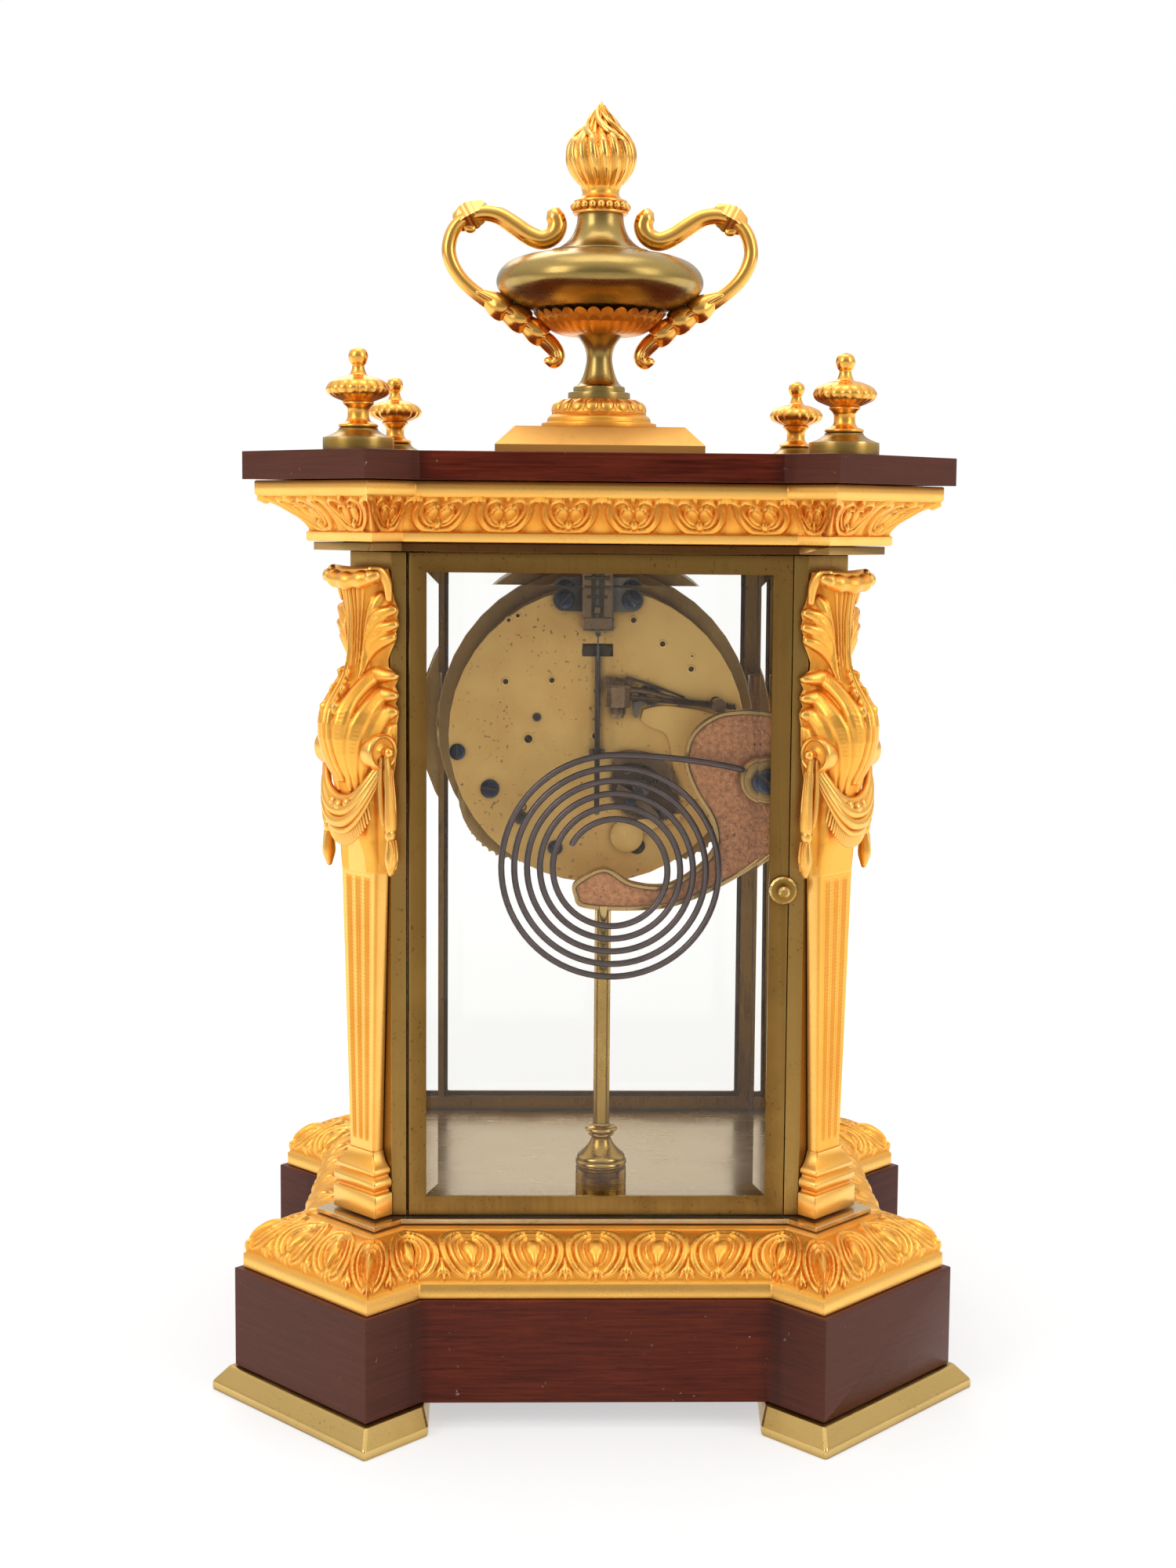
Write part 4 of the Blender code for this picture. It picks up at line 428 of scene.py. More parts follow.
def wire_brushing(w, given, out):
    """Fine streaks drawn out along one axis, over a cast grain."""
    coordinates = w.node("TexCoord").outputs["Object"]
    drawn = w.node("VectorMath", {0: coordinates, 1: given["Stretch"]}, operation="MULTIPLY")
    w.feed(out["Streak"], w.noise(drawn.outputs[0], 1.0, 3.0, 0.6))
    w.feed(out["Grain"], w.noise(coordinates, given["Grain Scale"], 2.0, 0.6))


WEAR_AND_SHADE = make_group(
    "wear_and_shade", [("Reach", "NodeSocketFloat", 0.003)], ["Edge", "Hollow Shade And Dirt"], wire_wear_and_shade)
TARNISH = make_group(
    "tarnish",
    [("Cloud Scale", "NodeSocketFloat", 60.0), ("Fleck Scale", "NodeSocketFloat", 900.0)],
    ["Cloud", "Fleck"], wire_tarnish)
BRUSHING = make_group(
    "brushing",
    [("Stretch", "NodeSocketVector", (900.0, 900.0, 40.0)), ("Grain Scale", "NodeSocketFloat", 2600.0)],
    ["Streak", "Grain"], wire_brushing)


def placed_group(w, tree, inputs):
    made = w.tree.nodes.new("ShaderNodeGroup")
    made.node_tree = tree
    w.fill(made, inputs)
    return made.outputs


def blank(name):
    """A new material with its Principled shader and a way to wire it."""
    material = bpy.data.materials.new(name)
    material.use_nodes = True
    return material, Wiring(material.node_tree), material.node_tree.nodes["Principled BSDF"]


def metal(name, base, dull, edge_highlight_and_wear, rough, cloud=(60.0, 0.5), fleck=(900.0, 0.4),
          stretch=(900.0, 900.0, 40.0), streak=0.1, grain=(2600.0, 0.1), edge=0.6, hollow=0.8,
          hollow_shade_tint=None, metallic=1.0):
    """A worn metal with painted highlight on its edges and painted shade in its hollows. Cloud, fleck and
    grain are each a scale and a strength.
    """
    material, w, shader = blank(name)
    wear_and_shade_masks = placed_group(w, WEAR_AND_SHADE, {"Reach": 3.0 * MM})
    stain = placed_group(w, TARNISH, {"Cloud Scale": cloud[0], "Fleck Scale": fleck[0]})
    lines = placed_group(w, BRUSHING, {"Stretch": stretch, "Grain Scale": grain[0]})
    clouded = w.times(stain["Cloud"], cloud[1])
    colour = w.mix(clouded, (*base, 1), (*dull, 1))
    # painted highlight and rubbed wear: convex edges are mixed toward a lighter colour
    colour = w.mix(w.times(wear_and_shade_masks["Edge"], edge), colour, (*edge_highlight_and_wear, 1))
    # painted shade with some dirt: hollows, creases and carved recesses are mixed toward a darker tint
    deep = hollow_shade_tint or tuple(channel * 0.45 for channel in dull)
    colour = w.mix(w.times(wear_and_shade_masks["Hollow Shade And Dirt"], hollow), colour, (*deep, 1))
    speck = w.times(stain["Fleck"], fleck[1])
    colour = w.mix(speck, colour, (*(channel * 0.3 for channel in dull), 1))
    swing = w.times(clouded, 0.16)
    swing = w.math("ADD", swing, w.times(wear_and_shade_masks["Hollow Shade And Dirt"], 0.2))
    swing = w.math("SUBTRACT", swing, w.times(wear_and_shade_masks["Edge"], 0.1))
    swing = w.math("ADD", swing, w.times(w.math("SUBTRACT", lines["Streak"], 0.5), streak))
    height = w.math("ADD", w.times(lines["Grain"], grain[1]), w.times(lines["Streak"], streak))
    bump = w.node("Bump", {"Strength": 0.5, "Distance": 0.2 * MM, "Height": height})
    w.fill(shader, {
        "Base Color": colour, "Roughness": w.math("ADD", swing, rough, clamp=True),
        "Metallic": metallic, "Normal": bump.outputs[0],
    })
    return material


# The hollow tints given here are the colour of painted shade in the recesses, with some dirt.
GILT = metal(
    "satin_gilt", (1.0, 0.48, 0.075), (0.93, 0.40, 0.045), (1.0, 0.64, 0.20), 0.34,
    cloud=(45.0, 0.6), fleck=(700.0, 0.15), stretch=(1500.0, 1500.0, 1500.0), streak=0.12,
    grain=(3200.0, 0.32), edge=0.5, hollow=0.58, hollow_shade_tint=(0.60, 0.21, 0.02), metallic=0.93)
MATT_GILT = metal(
    "matt_gilt", (0.66, 0.32, 0.068), (0.56, 0.26, 0.05), (0.84, 0.47, 0.14), 0.52,
    cloud=(40.0, 0.6), fleck=(800.0, 0.2), stretch=(1500.0, 1500.0, 1500.0),
    grain=(3200.0, 0.35), edge=0.5, hollow_shade_tint=(0.45, 0.15, 0.02))
BURNISHED_GILT = metal(
    "burnished_gilt", (1.0, 0.51, 0.10), (0.95, 0.43, 0.065), (1.0, 0.68, 0.26), 0.23,
    cloud=(50.0, 0.5), fleck=(700.0, 0.05), stretch=(600.0, 600.0, 600.0), streak=0.03,
    grain=(2400.0, 0.03), edge=0.35, hollow=0.55, hollow_shade_tint=(0.50, 0.16, 0.015))
CASE_BRASS = metal(
    "aged_case_brass", (0.235, 0.118, 0.026), (0.15, 0.070, 0.014), (0.42, 0.25, 0.07), 0.36,
    cloud=(38.0, 0.8), fleck=(820.0, 0.5), streak=0.35, grain=(2200.0, 0.14), edge=0.7, hollow=0.75)
MOVEMENT_BRASS = metal(
    "shaded_movement_brass", (0.42, 0.255, 0.08), (0.29, 0.165, 0.045), (0.72, 0.50, 0.21), 0.33,
    cloud=(60.0, 0.8), fleck=(900.0, 0.5), streak=0.2, grain=(2200.0, 0.12))
DARK_BRASS = metal(
    "dark_plate_brass", (0.18, 0.078, 0.022), (0.11, 0.046, 0.015), (0.40, 0.24, 0.08), 0.34,
    cloud=(45.0, 0.8), fleck=(700.0, 0.4), stretch=(60.0, 60.0, 900.0), streak=0.25, edge=0.8)
FOOT_BRASS = metal(
    "foot_brass", (0.47, 0.285, 0.07), (0.33, 0.19, 0.04), (0.78, 0.55, 0.21), 0.27,
    cloud=(55.0, 0.7), fleck=(900.0, 0.35), stretch=(160.0, 160.0, 1500.0), streak=0.3,
    grain=(2600.0, 0.12), edge=0.8)
BRONZE = metal(
    "browned_bronze", (0.12, 0.068, 0.034), (0.06, 0.034, 0.018), (0.36, 0.23, 0.12), 0.34,
    cloud=(260.0, 0.9), fleck=(1200.0, 0.4), streak=0.2, hollow=0.7)
URN_BRASS = metal(
    "urn_brass", (0.44, 0.30, 0.095), (0.33, 0.22, 0.065), (0.58, 0.42, 0.16), 0.24,
    cloud=(70.0, 0.6), fleck=(1500.0, 0.25), stretch=(260.0, 260.0, 1400.0), streak=0.16,
    grain=(3000.0, 0.06), edge=0.3, hollow=0.6)
FLOOR_BRASS = metal(
    "floor_brass", (0.66, 0.50, 0.29), (0.54, 0.39, 0.21), (0.80, 0.64, 0.40), 0.24,
    cloud=(30.0, 0.6), fleck=(500.0, 0.35), stretch=(30.0, 900.0, 900.0), streak=0.14, edge=0.2,
    hollow=0.5)
PLATE_BRASS = metal(
    "movement_plate_brass", (1.0, 0.635, 0.18), (0.88, 0.48, 0.115), (1.0, 0.74, 0.32), 0.36,
    cloud=(34.0, 0.85), fleck=(640.0, 0.9), stretch=(700.0, 700.0, 60.0), streak=0.02,
    grain=(2400.0, 0.05), edge=0.0, metallic=0.3)
GONG_STEEL = metal(
    "gong_steel", (0.115, 0.085, 0.08), (0.075, 0.055, 0.05), (0.24, 0.19, 0.18), 0.38,
    cloud=(120.0, 0.7), fleck=(1500.0, 0.4), stretch=(1200.0, 1200.0, 1200.0), streak=0.15,
    grain=(3000.0, 0.2), edge=0.4)
DARK_STEEL = metal(
    "blackened_steel", (0.085, 0.068, 0.055), (0.05, 0.04, 0.035), (0.26, 0.22, 0.18), 0.36,
    cloud=(150.0, 0.7), fleck=(1400.0, 0.4), streak=0.2)
BLUED = metal(
    "blued_steel", (0.028, 0.034, 0.055), (0.022, 0.022, 0.03), (0.13, 0.14, 0.19), 0.27,
    cloud=(200.0, 0.6), fleck=(1600.0, 0.2), streak=0.15)
COPPER = metal(
    "granular_copper", (0.66, 0.27, 0.11), (0.26, 0.09, 0.035), (0.85, 0.45, 0.22), 0.46,
    cloud=(620.0, 1.0), fleck=(900.0, 0.9), stretch=(700.0, 700.0, 700.0), streak=0.6,
    grain=(1300.0, 1.6), edge=0.3, metallic=0.85)
# Near-black painted shade for pivot holes, slots and gaps, drawn as thin discs, sheets and bars.
HOLE_SHADE_DARK = metal(
    "painted_hole_shade", (0.045, 0.03, 0.018), (0.03, 0.02, 0.012), (0.12, 0.09, 0.05), 0.45,
    cloud=(200.0, 0.5))


def make_mahogany():
    """Polished mahogany: red on the long faces, plum-brown on the corner blocks."""
    material, w, shader = blank("polished_mahogany")
    stretched = w.place((38.0, 38.0, 900.0))
    warp = w.noise(w.place((14.0, 14.0, 40.0)), 1.0, 3.0)
    warped = w.node("VectorMath", {0: stretched, 1: warp}, operation="ADD").outputs[0]
    figure = w.noise(warped, 1.0, 5.0, 0.6)
    pores = w.span(w.noise(w.place((160.0, 160.0, 2600.0)), 1.0, 2.0, 0.5), 0.58, 0.72)
    bands = w.span(figure, 0.3, 0.7)
    red = w.mix(bands, (0.060, 0.007, 0.003, 1), (0.20, 0.028, 0.011, 1))
    plum = w.mix(bands, (0.042, 0.008, 0.006, 1), (0.115, 0.025, 0.018, 1))
    split = w.node("SeparateXYZ", {0: w.node("TexCoord").outputs["Object"]})
    crease = (PIER_REACH - PIER_HALF_WIDTH) * DIAGONAL
    far = [w.math("ABSOLUTE", split.outputs[axis]) for axis in (0, 1)]

    def past_crease(inner, outer):
        """One on the corner blocks, and nought within inner of the crease between the walls."""
        shares = [
            w.span(reach, middle + crease - inner * MM, middle + crease - outer * MM)
            for reach, middle in zip(far, (CHAMFER_X, CHAMFER_Y))
        ]
        return w.times(*shares)

    block = past_crease(13.6, 11.6)
    near = past_crease(20.0, 13.0)
    band = w.times(w.math("SUBTRACT", near, block, clamp=True), 0.8)
    colour = w.mix(block, red, plum)
    colour = w.mix(band, colour, (0.022, 0.006, 0.006, 1))
    colour = w.mix(w.times(pores, 0.55), colour, (0.018, 0.006, 0.005, 1))
    wear_and_shade_masks = placed_group(w, WEAR_AND_SHADE, {"Reach": 1.5 * MM})
    stain = placed_group(w, TARNISH, {"Cloud Scale": 30.0, "Fleck Scale": 420.0})
    colour = w.mix(w.times(wear_and_shade_masks["Edge"], 0.5), colour, (0.20, 0.07, 0.04, 1))
    chip = w.span(w.noise(w.place(), 360.0, 3.0, 0.6), 0.70, 0.73)
    chip = w.times(chip, w.span(stain["Cloud"], 0.3, 0.7))
    colour = w.mix(w.times(chip, 0.6), colour, (0.45, 0.42, 0.38, 1))
    height = w.math("SUBTRACT", w.times(figure, 0.3), w.times(pores, 0.5))
    bump = w.node("Bump", {"Strength": 0.35, "Distance": 0.15 * MM, "Height": height})
    w.fill(shader, {
        "Base Color": colour, "Roughness": w.math("ADD", w.times(stain["Cloud"], 0.12), 0.24),
        "Specular IOR Level": 0.1, "Coat Weight": 0.05, "Coat Roughness": 0.12,
        "Normal": bump.outputs[0],
    })
    return material


def make_glass():
    """Clear bevelled plate glass that lets light reach the movement."""
    material, w, shader = blank("bevelled_glass")
    shadow = w.node("LightPath").outputs["Is Shadow Ray"]
    w.fill(shader, {
        "Base Color": (0.985, 0.985, 0.975, 1), "Roughness": 0.0, "Metallic": 0.0,
        "Transmission Weight": 1.0, "IOR": 1.3,
        "Alpha": w.math("SUBTRACT", 1.0, w.times(shadow, 0.96)),
    })
    return material


def make_enamel():
    """Cream enamel with the faintest crazing."""
    material, w, shader = blank("cream_enamel")
    cells = w.node("TexVoronoi", {"Vector": w.place(), "Scale": 190.0}, feature="DISTANCE_TO_EDGE")
    craze = w.span(cells.outputs["Distance"], 0.012, 0.0)
    stain = placed_group(w, TARNISH, {"Cloud Scale": 40.0, "Fleck Scale": 900.0})
    colour = w.mix(w.times(stain["Cloud"], 0.5), (0.82, 0.79, 0.70, 1), (0.77, 0.72, 0.61, 1))
    colour = w.mix(w.times(craze, 0.12), colour, (0.4, 0.34, 0.26, 1))
    w.fill(shader, {
        "Base Color": colour, "Roughness": w.math("ADD", w.times(stain["Cloud"], 0.08), 0.1),
        "Coat Weight": 0.6,
    })
    return material


def make_ink():
    """Fired black paint of the dial's numerals."""
    material, w, shader = blank("dial_ink")
    speckle = w.noise(w.place(), 1400.0, 2.0)
    w.fill(shader, {
        "Base Color": w.mix(speckle, (0.012, 0.012, 0.015, 1), (0.03, 0.028, 0.03, 1)),
        "Roughness": w.span(speckle, 0.3, 0.7, 0.22, 0.34),
    })
    return material


MAHOGANY = make_mahogany()
GLASS = make_glass()
ENAMEL = make_enamel()
INK = make_ink()


# Base moulding and cornice

EGG_PITCH = 19.5
LEAF_PITCH = 20.5
OVERSHOOT = 2.0                       # how far the outer eggs stand past the mitres


def plan_corners(offset):
    """The sixteen corners of the base's plan, grown outward by offset."""
    face_x = CHAMFER_X + (PIER_REACH + offset) * DIAGONAL
    face_y = CHAMFER_Y + (PIER_REACH + offset) * DIAGONAL
    half = (PIER_HALF_WIDTH + offset) * DIAGONAL
    wall_x = CHAMFER_X + PIER_REACH * DIAGONAL + WALL_BEYOND_FACE + offset
    wall_y = CHAMFER_Y + PIER_REACH * DIAGONAL + WALL_BEYOND_FACE + offset
    run_x = face_x + half - wall_x
    run_y = face_y + half - wall_y
    quarter = [
        (wall_x, face_y - half - run_x), (face_x + half, face_y - half), (face_x - half, face_y + half),
        (face_x - half - run_y, wall_y),
    ]
    outline = list(quarter)
    outline += [(-x, y) for x, y in reversed(quarter)]
    outline += [(-x, -y) for x, y in quarter]
    outline += [(x, -y) for x, y in reversed(quarter)]
    return np.array(outline)


def resample(profile, spacing):
    """Points spaced along a profile, with every corner of the profile kept."""
    rows = [np.asarray(profile[0], float)]
    for start, end in zip(profile, profile[1:]):
        start, end = np.asarray(start, float), np.asarray(end, float)
        count = max(1, int(np.linalg.norm(end - start) / spacing))
        rows += [start + (end - start) * step / count for step in range(1, count + 1)]
    return np.array(rows)


def carved_band(name, lower, curve, upper, carving, layout, sink, node):
    """Sweep a plain lower edge, a carved curve and a plain upper edge round the plan."""
    curve = resample(curve, 0.38 * MM)
    tangent = unit(np.gradient(curve, axis=0))
    normal = np.column_stack([tangent[:, 1], -tangent[:, 0]])
    travelled = np.concatenate([[0], np.cumsum(np.linalg.norm(np.diff(curve, axis=0), axis=1))])
    climb = travelled / travelled[-1]
    base = plan_corners(0.0)
    slope = plan_corners(1.0) - base
    middle = plan_corners(curve[len(curve) // 2, 0])
    fade = np.clip(np.minimum(climb, 1 - climb) / 0.03, 0, 1)[:, None]
    shape = Shape()
    for index in range(16):
        after = (index + 1) % 16
        length = np.linalg.norm(middle[after] - middle[index]) / MM
        share = np.linspace(0, 1, int(length / 0.36) + 2)
        first, pitch = layout(index % 4, length)
        along = share * length - first
        tile_x = (along - np.round(along / pitch) * pitch) / pitch * carving.width
        height = carving.sample(tile_x[None], climb[:, None] * carving.height)
        lift = (height - sink) * fade
        offset = curve[:, :1] + lift * normal[:, :1]
        level = curve[:, 1:] + lift * normal[:, 1:]
        # low parts of the carving are marked for painted shade
        hollow = np.clip(1 - height / (0.8 * MM), 0, 1) * fade
        flat = 0 * share[None]
        all_offset = np.vstack(
            [edge[0] + flat for edge in lower] + [offset] + [edge[0] + flat for edge in upper])
        all_level = np.vstack(
            [edge[1] + flat for edge in lower] + [level] + [edge[1] + flat for edge in upper])
        all_hollow = np.zeros_like(all_offset)
        all_hollow[len(lower):len(lower) + len(curve)] = hollow
        start = base[index] + all_offset[..., None] * slope[index]
        end = base[after] + all_offset[..., None] * slope[after]
        plan = start * (1 - share[None, :, None]) + end * share[None, :, None]
        shape.grid(np.concatenate([plan, all_level[..., None]], -1), all_hollow)
    return shape.piece(name, GILT, "gilt", [node], sharp=50)


def egg_and_leaf():
    """Base motif: a pointed egg in a double husk, with fronds between the husks."""
    tile = Carving(EGG_PITCH, 22.5)
    tile.stroke(
        [(2.2, 1.4), (5.4, 3.4), (8.0, 7.6), (8.5, 12.4), (6.8, 17.0), (3.4, 19.6), (0, 20.3)],
        [0.5, 0.9, 1.15, 1.25, 1.3, 1.2, 1.1], [0.5, 1.0, 1.25, 1.35, 1.35, 1.2, 1.1], 0.35)
    tile.stroke(
        [(1.6, 2.8), (4.2, 5.2), (5.9, 9.2), (6.0, 13.2), (4.4, 16.6), (1.9, 18.1), (0, 18.3)],
        [0.4, 0.7, 0.85, 0.9, 0.85, 0.7, 0.6], [0.4, 0.8, 1.0, 1.05, 1.0, 0.9, 0.8])
    tile.stroke(
        [(0.6, 4.6), (2.9, 7.6), (3.9, 11.2), (3.3, 14.4), (1.7, 16.1), (0, 16.5)],
        [0.3, 0.5, 0.55, 0.55, 0.5, 0.5], [0.3, 0.7, 0.8, 0.85, 0.8, 0.8])
    tile.boss((0, 11.6), (2.5, 3.9), 1.6, both=False)
    tile.stroke([(0, 11.0), (0, 8.0), (0, 5.2)], [2.3, 1.4, 0.3], [1.55, 1.4, 1.0], both=False)
    edge = EGG_PITCH / 2
    tile.stroke([(edge, 8.0), (edge, 4.0), (edge, 0.9)], [0.35, 1.1, 0.5], [0.5, 1.3, 0.8])
    tile.stroke([(edge, 5.8), (8.4, 3.6), (7.6, 1.7)], [0.4, 0.8, 0.4], [0.5, 1.1, 0.6])
    tile.stroke([(0, 5.4), (0, 3.0), (0, 0.8)], [0.4, 0.9, 0.45], [0.6, 1.2, 0.7], both=False)
    tile.stroke([(0.3, 4.6), (1.6, 2.9), (2.1, 1.3)], [0.4, 0.75, 0.4], [0.5, 1.0, 0.6])
    return tile


def leaf_and_tongue():
    """Cornice motif: a curled palmette round a heart, with plain tongues between."""
    tile = Carving(LEAF_PITCH, 16.8)
    edge = LEAF_PITCH / 2
    tile.stroke([(edge, 0.6), (edge, 5.0), (edge, 12.4)], [2.6, 2.0, 0.8], [0.5, 0.6, 0.5])
    tile.stroke([(edge, 13.8), (edge, 16.0)], [0.8, 0.8], [2.0, 1.9])
    tile.stroke(
        [(0.5, 0.5), (4.6, 1.3), (7.0, 4.6), (7.9, 9.0), (7.6, 12.8), (8.4, 15.0), (10.2, 15.4)],
        [0.8, 1.1, 1.25, 1.3, 1.3, 1.2, 1.0], [1.0, 1.3, 1.5, 1.6, 1.7, 1.8, 1.6], 0.35)
    tile.stroke(
        [(0.8, 1.8), (3.6, 3.2), (5.7, 7.2), (6.2, 11.0), (5.4, 13.8), (3.8, 14.9), (2.9, 13.9)],
        [0.5, 0.8, 0.9, 0.9, 0.95, 0.9, 0.6], [0.7, 1.1, 1.25, 1.3, 1.4, 1.4, 1.1])
    tile.boss((2.05, 6.8), (1.9, 3.3), 1.05)
    tile.stroke(
        [(1.0, 2.8), (3.1, 4.6), (4.2, 7.6), (3.5, 10.4), (1.7, 11.2), (0.1, 9.0)],
        [0.4, 0.55, 0.6, 0.6, 0.55, 0.4], [1.0, 1.25, 1.3, 1.3, 1.2, 0.9])
    tile.boss((0, 2.5), (1.35, 1.9), 1.7, both=False)
    tile.stroke(
        [(0.2, 9.2), (1.2, 12.0), (2.4, 14.0), (4.2, 15.6)], [0.3, 0.5, 0.6, 0.6], [0.6, 1.0, 1.2, 1.2])
    tile.stroke([(0, 16.2), (0, 13.9)], [0.8, 0.7], [1.9, 1.5], both=False)
    return tile


def egg_layout(kind, length):
    """Eggs stand on the outer mitres, and just past the creases."""
    if kind == 0:
        return OVERSHOOT, length - OVERSHOOT
    if kind == 1:
        return 0.0, length / round(length / EGG_PITCH)
    if kind == 2:
        return 0.0, length - OVERSHOOT
    reach = length + 2 * OVERSHOOT
    return -OVERSHOOT, reach / round(reach / EGG_PITCH)


def leaf_layout(kind, length):
    """Whole leaves on every face, with a tongue at each corner."""
    count = 1 if kind in (0, 2) else round(length / LEAF_PITCH)
    return length / count / 2, length / count


def make_mouldings():
    """The carved base moulding and cornice."""
    inset = -2.2 * MM
    fillet = 4.9 * MM
    foot = inset - 0.6 * MM
    head = -18.6 * MM
    rise = moulding_high - moulding_low - fillet - 1.2 * MM
    ovolo = [
        (head + (foot - head) * math.cos(turn), moulding_low + fillet + SEAT + rise * math.sin(turn))
        for turn in np.linspace(0, math.pi / 2, 40)
    ]
    soft = 0.35 * MM
    under_plate = -24.0 * MM
    lower = [
        (under_plate, moulding_low), (inset, moulding_low), (inset, moulding_low + fillet - soft),
        (inset - soft, moulding_low + fillet),
    ]
    upper = [(head, moulding_high), (under_plate, moulding_high)]
    carved_band(
        "carved_base_moulding", lower, ovolo, upper, egg_and_leaf(), egg_layout, 0.55 * MM,
        "base_moulding")
    inner = -18.6 * MM
    fillet_out = -6.1 * MM
    outer = fillet_out - 0.6 * MM
    foot_high = 3.0 * MM
    band = cornice_high - cornice_low - foot_high - 4.8 * MM
    flare = [
        (inner + (outer - inner) * share ** 1.6,
         cornice_low + foot_high + SEAT + (band - 2 * SEAT) * share)
        for share in np.linspace(0, 1, 40)
    ]
    upper = [
        (fillet_out - soft, cornice_low + foot_high + band),
        (fillet_out, cornice_low + foot_high + band + soft), (fillet_out, cornice_high - soft),
        (fillet_out - soft, cornice_high), (under_plate, cornice_high),
    ]
    lower = [
        (under_plate, cornice_low), (inner, cornice_low), (inner + 0.5 * MM, cornice_low + 0.5 * MM),
        (inner + 0.5 * MM, cornice_low + foot_high),
    ]
    carved_band(
        "carved_cornice", lower, flare, upper, leaf_and_tongue(), leaf_layout, 0.7 * MM,
        "cornice_moulding")


# Consoles: drawn across, outward and up from the middle of a post's chamfer, in millimetres

LEAF_FOOT = 180.0
SHAFT_LOW = 85.5
SHAFT_HIGH = 184.0
FLUTE_LOW = 89.0
FLUTE_HIGH = 179.5
FLUTE_DEPTH = 0.34
CONSOLE_BACK = 0.3


def acanthus():
    """The console's leaf as relief: from its middle line out to 20 at the post, by height."""
    leaf = Carving(42.0, 106.0, 0.28)

    def lobe(route, widths, heights, groove=0.22):
        leaf.stroke([(across, up - LEAF_FOOT) for across, up in route], widths, heights, groove)

    taper = [1.3, 2.9, 3.0, 2.7, 2.4, 2.1, 1.7, 1.1]
    swell = [1.9, 2.6, 2.4, 2.1, 1.9, 1.7, 1.5, 1.1]
    lobe([(19.4, 234.7), (16.6, 234.2), (13.8, 231.4), (11.6, 226.0), (10.0, 219.5), (9.2, 213.6),
          (9.0, 210.0), (9.0, 207.5)], taper, [size * 0.8 for size in swell])
    lobe([(19.4, 239.9), (15.6, 239.8), (11.8, 237.0), (8.6, 231.6), (6.9, 225.0), (6.0, 218.0),
          (6.0, 212.0), (6.2, 208.0)], taper, [size * 0.9 for size in swell])
    lobe([(19.4, 246.4), (14.6, 246.4), (9.4, 244.2), (5.6, 239.6), (3.9, 232.6), (3.2, 225.0),
          (3.2, 217.0), (3.4, 209.0)], taper, swell)
    lobe([(19.0, 229.6), (17.8, 228.4), (16.2, 224.4), (14.0, 218.4), (12.4, 213.0), (11.6, 209.0)],
         [1.0, 1.9, 2.1, 1.9, 1.5, 1.0], [1.0, 1.4, 1.5, 1.4, 1.2, 0.9])
    for across, up in ((2.0, 247.0), (2.2, 241.6), (2.0, 236.0)):
        leaf.boss((across, up - LEAF_FOOT), (1.15, 2.3), 3.0, point=0.6)
    lobe([(0.9, 276.0), (0.9, 262.0), (0.8, 251.0), (0.8, 240.0), (0.8, 226.0), (0.8, 212.0)],
         [1.0, 0.95, 0.85, 0.9, 1.0, 0.9], [1.2, 1.3, 1.4, 2.0, 1.9, 1.4], 0.0)
    for across, lean in ((2.7, 0.0), (4.5, 0.4), (6.4, 1.0)):
        lobe([(across * 0.8, 250.0), (across * 0.9, 257.0), (across, 264.0), (across + lean, 270.0),
              (across + lean * 1.8, 276.0)], [0.5, 0.6, 0.7, 0.9, 1.1], [0.4, 0.5, 0.55, 0.6, 0.6], 0.0)
    lobe([(6.4, 246.6), (9.0, 251.4), (13.2, 255.6), (19.2, 258.8)], [1.1, 2.1, 2.5, 1.7],
         [0.8, 1.3, 1.5, 1.2], 0.15)
    lobe([(6.6, 249.0), (9.4, 255.4), (13.6, 260.4), (19.2, 263.4)], [1.1, 2.2, 2.6, 1.7],
         [0.8, 1.5, 1.8, 1.4], 0.15)
    lobe([(7.0, 252.0), (9.8, 259.6), (13.4, 265.2), (18.6, 268.2)], [1.1, 2.2, 2.7, 1.7],
         [0.8, 1.6, 2.0, 1.5], 0.15)
    lobe([(7.4, 255.0), (10.0, 263.6), (12.6, 269.4), (16.0, 272.8)], [1.0, 1.9, 2.2, 1.2],
         [0.7, 1.4, 1.7, 1.2], 0.15)
    return leaf


def console_foot(shape):
    """The block and mouldings under the shaft, as half width, depth and height."""
    levels = [
        (10.7, 7.5, 64.7), (11.0, 7.7, 65.0), (11.0, 7.7, 72.0), (10.6, 7.4, 72.5), (9.6, 6.9, 72.7),
        (9.3, 6.7, 73.3), (9.6, 6.9, 73.7), (10.4, 7.5, 74.4), (10.8, 7.7, 75.4), (10.7, 7.7, 76.4),
        (10.2, 7.3, 77.2), (9.4, 6.8, 77.6), (9.2, 6.6, 78.3), (9.8, 7.1, 78.9), (10.1, 7.3, 79.7),
        (9.9, 7.2, 80.5), (9.0, 6.5, 81.2), (7.9, 5.7, 82.4), (7.2, 5.2, 83.8), (6.7, 4.9, 85.2),
        (6.6, 4.9, 86.0),
    ]
    rings = []
    for half, front, height in levels:
        soft = min(0.5, half * 0.3)
        worn = soft * 0.3
        rings.append([
            (-half, CONSOLE_BACK, height), (half, CONSOLE_BACK, height), (half, front - soft, height),
            (half - worn, front - worn, height), (half - soft, front, height),
            (-half + soft, front, height), (-half + worn, front - worn, height),
            (-half, front - soft, height),
        ])
    shape.tube(rings)


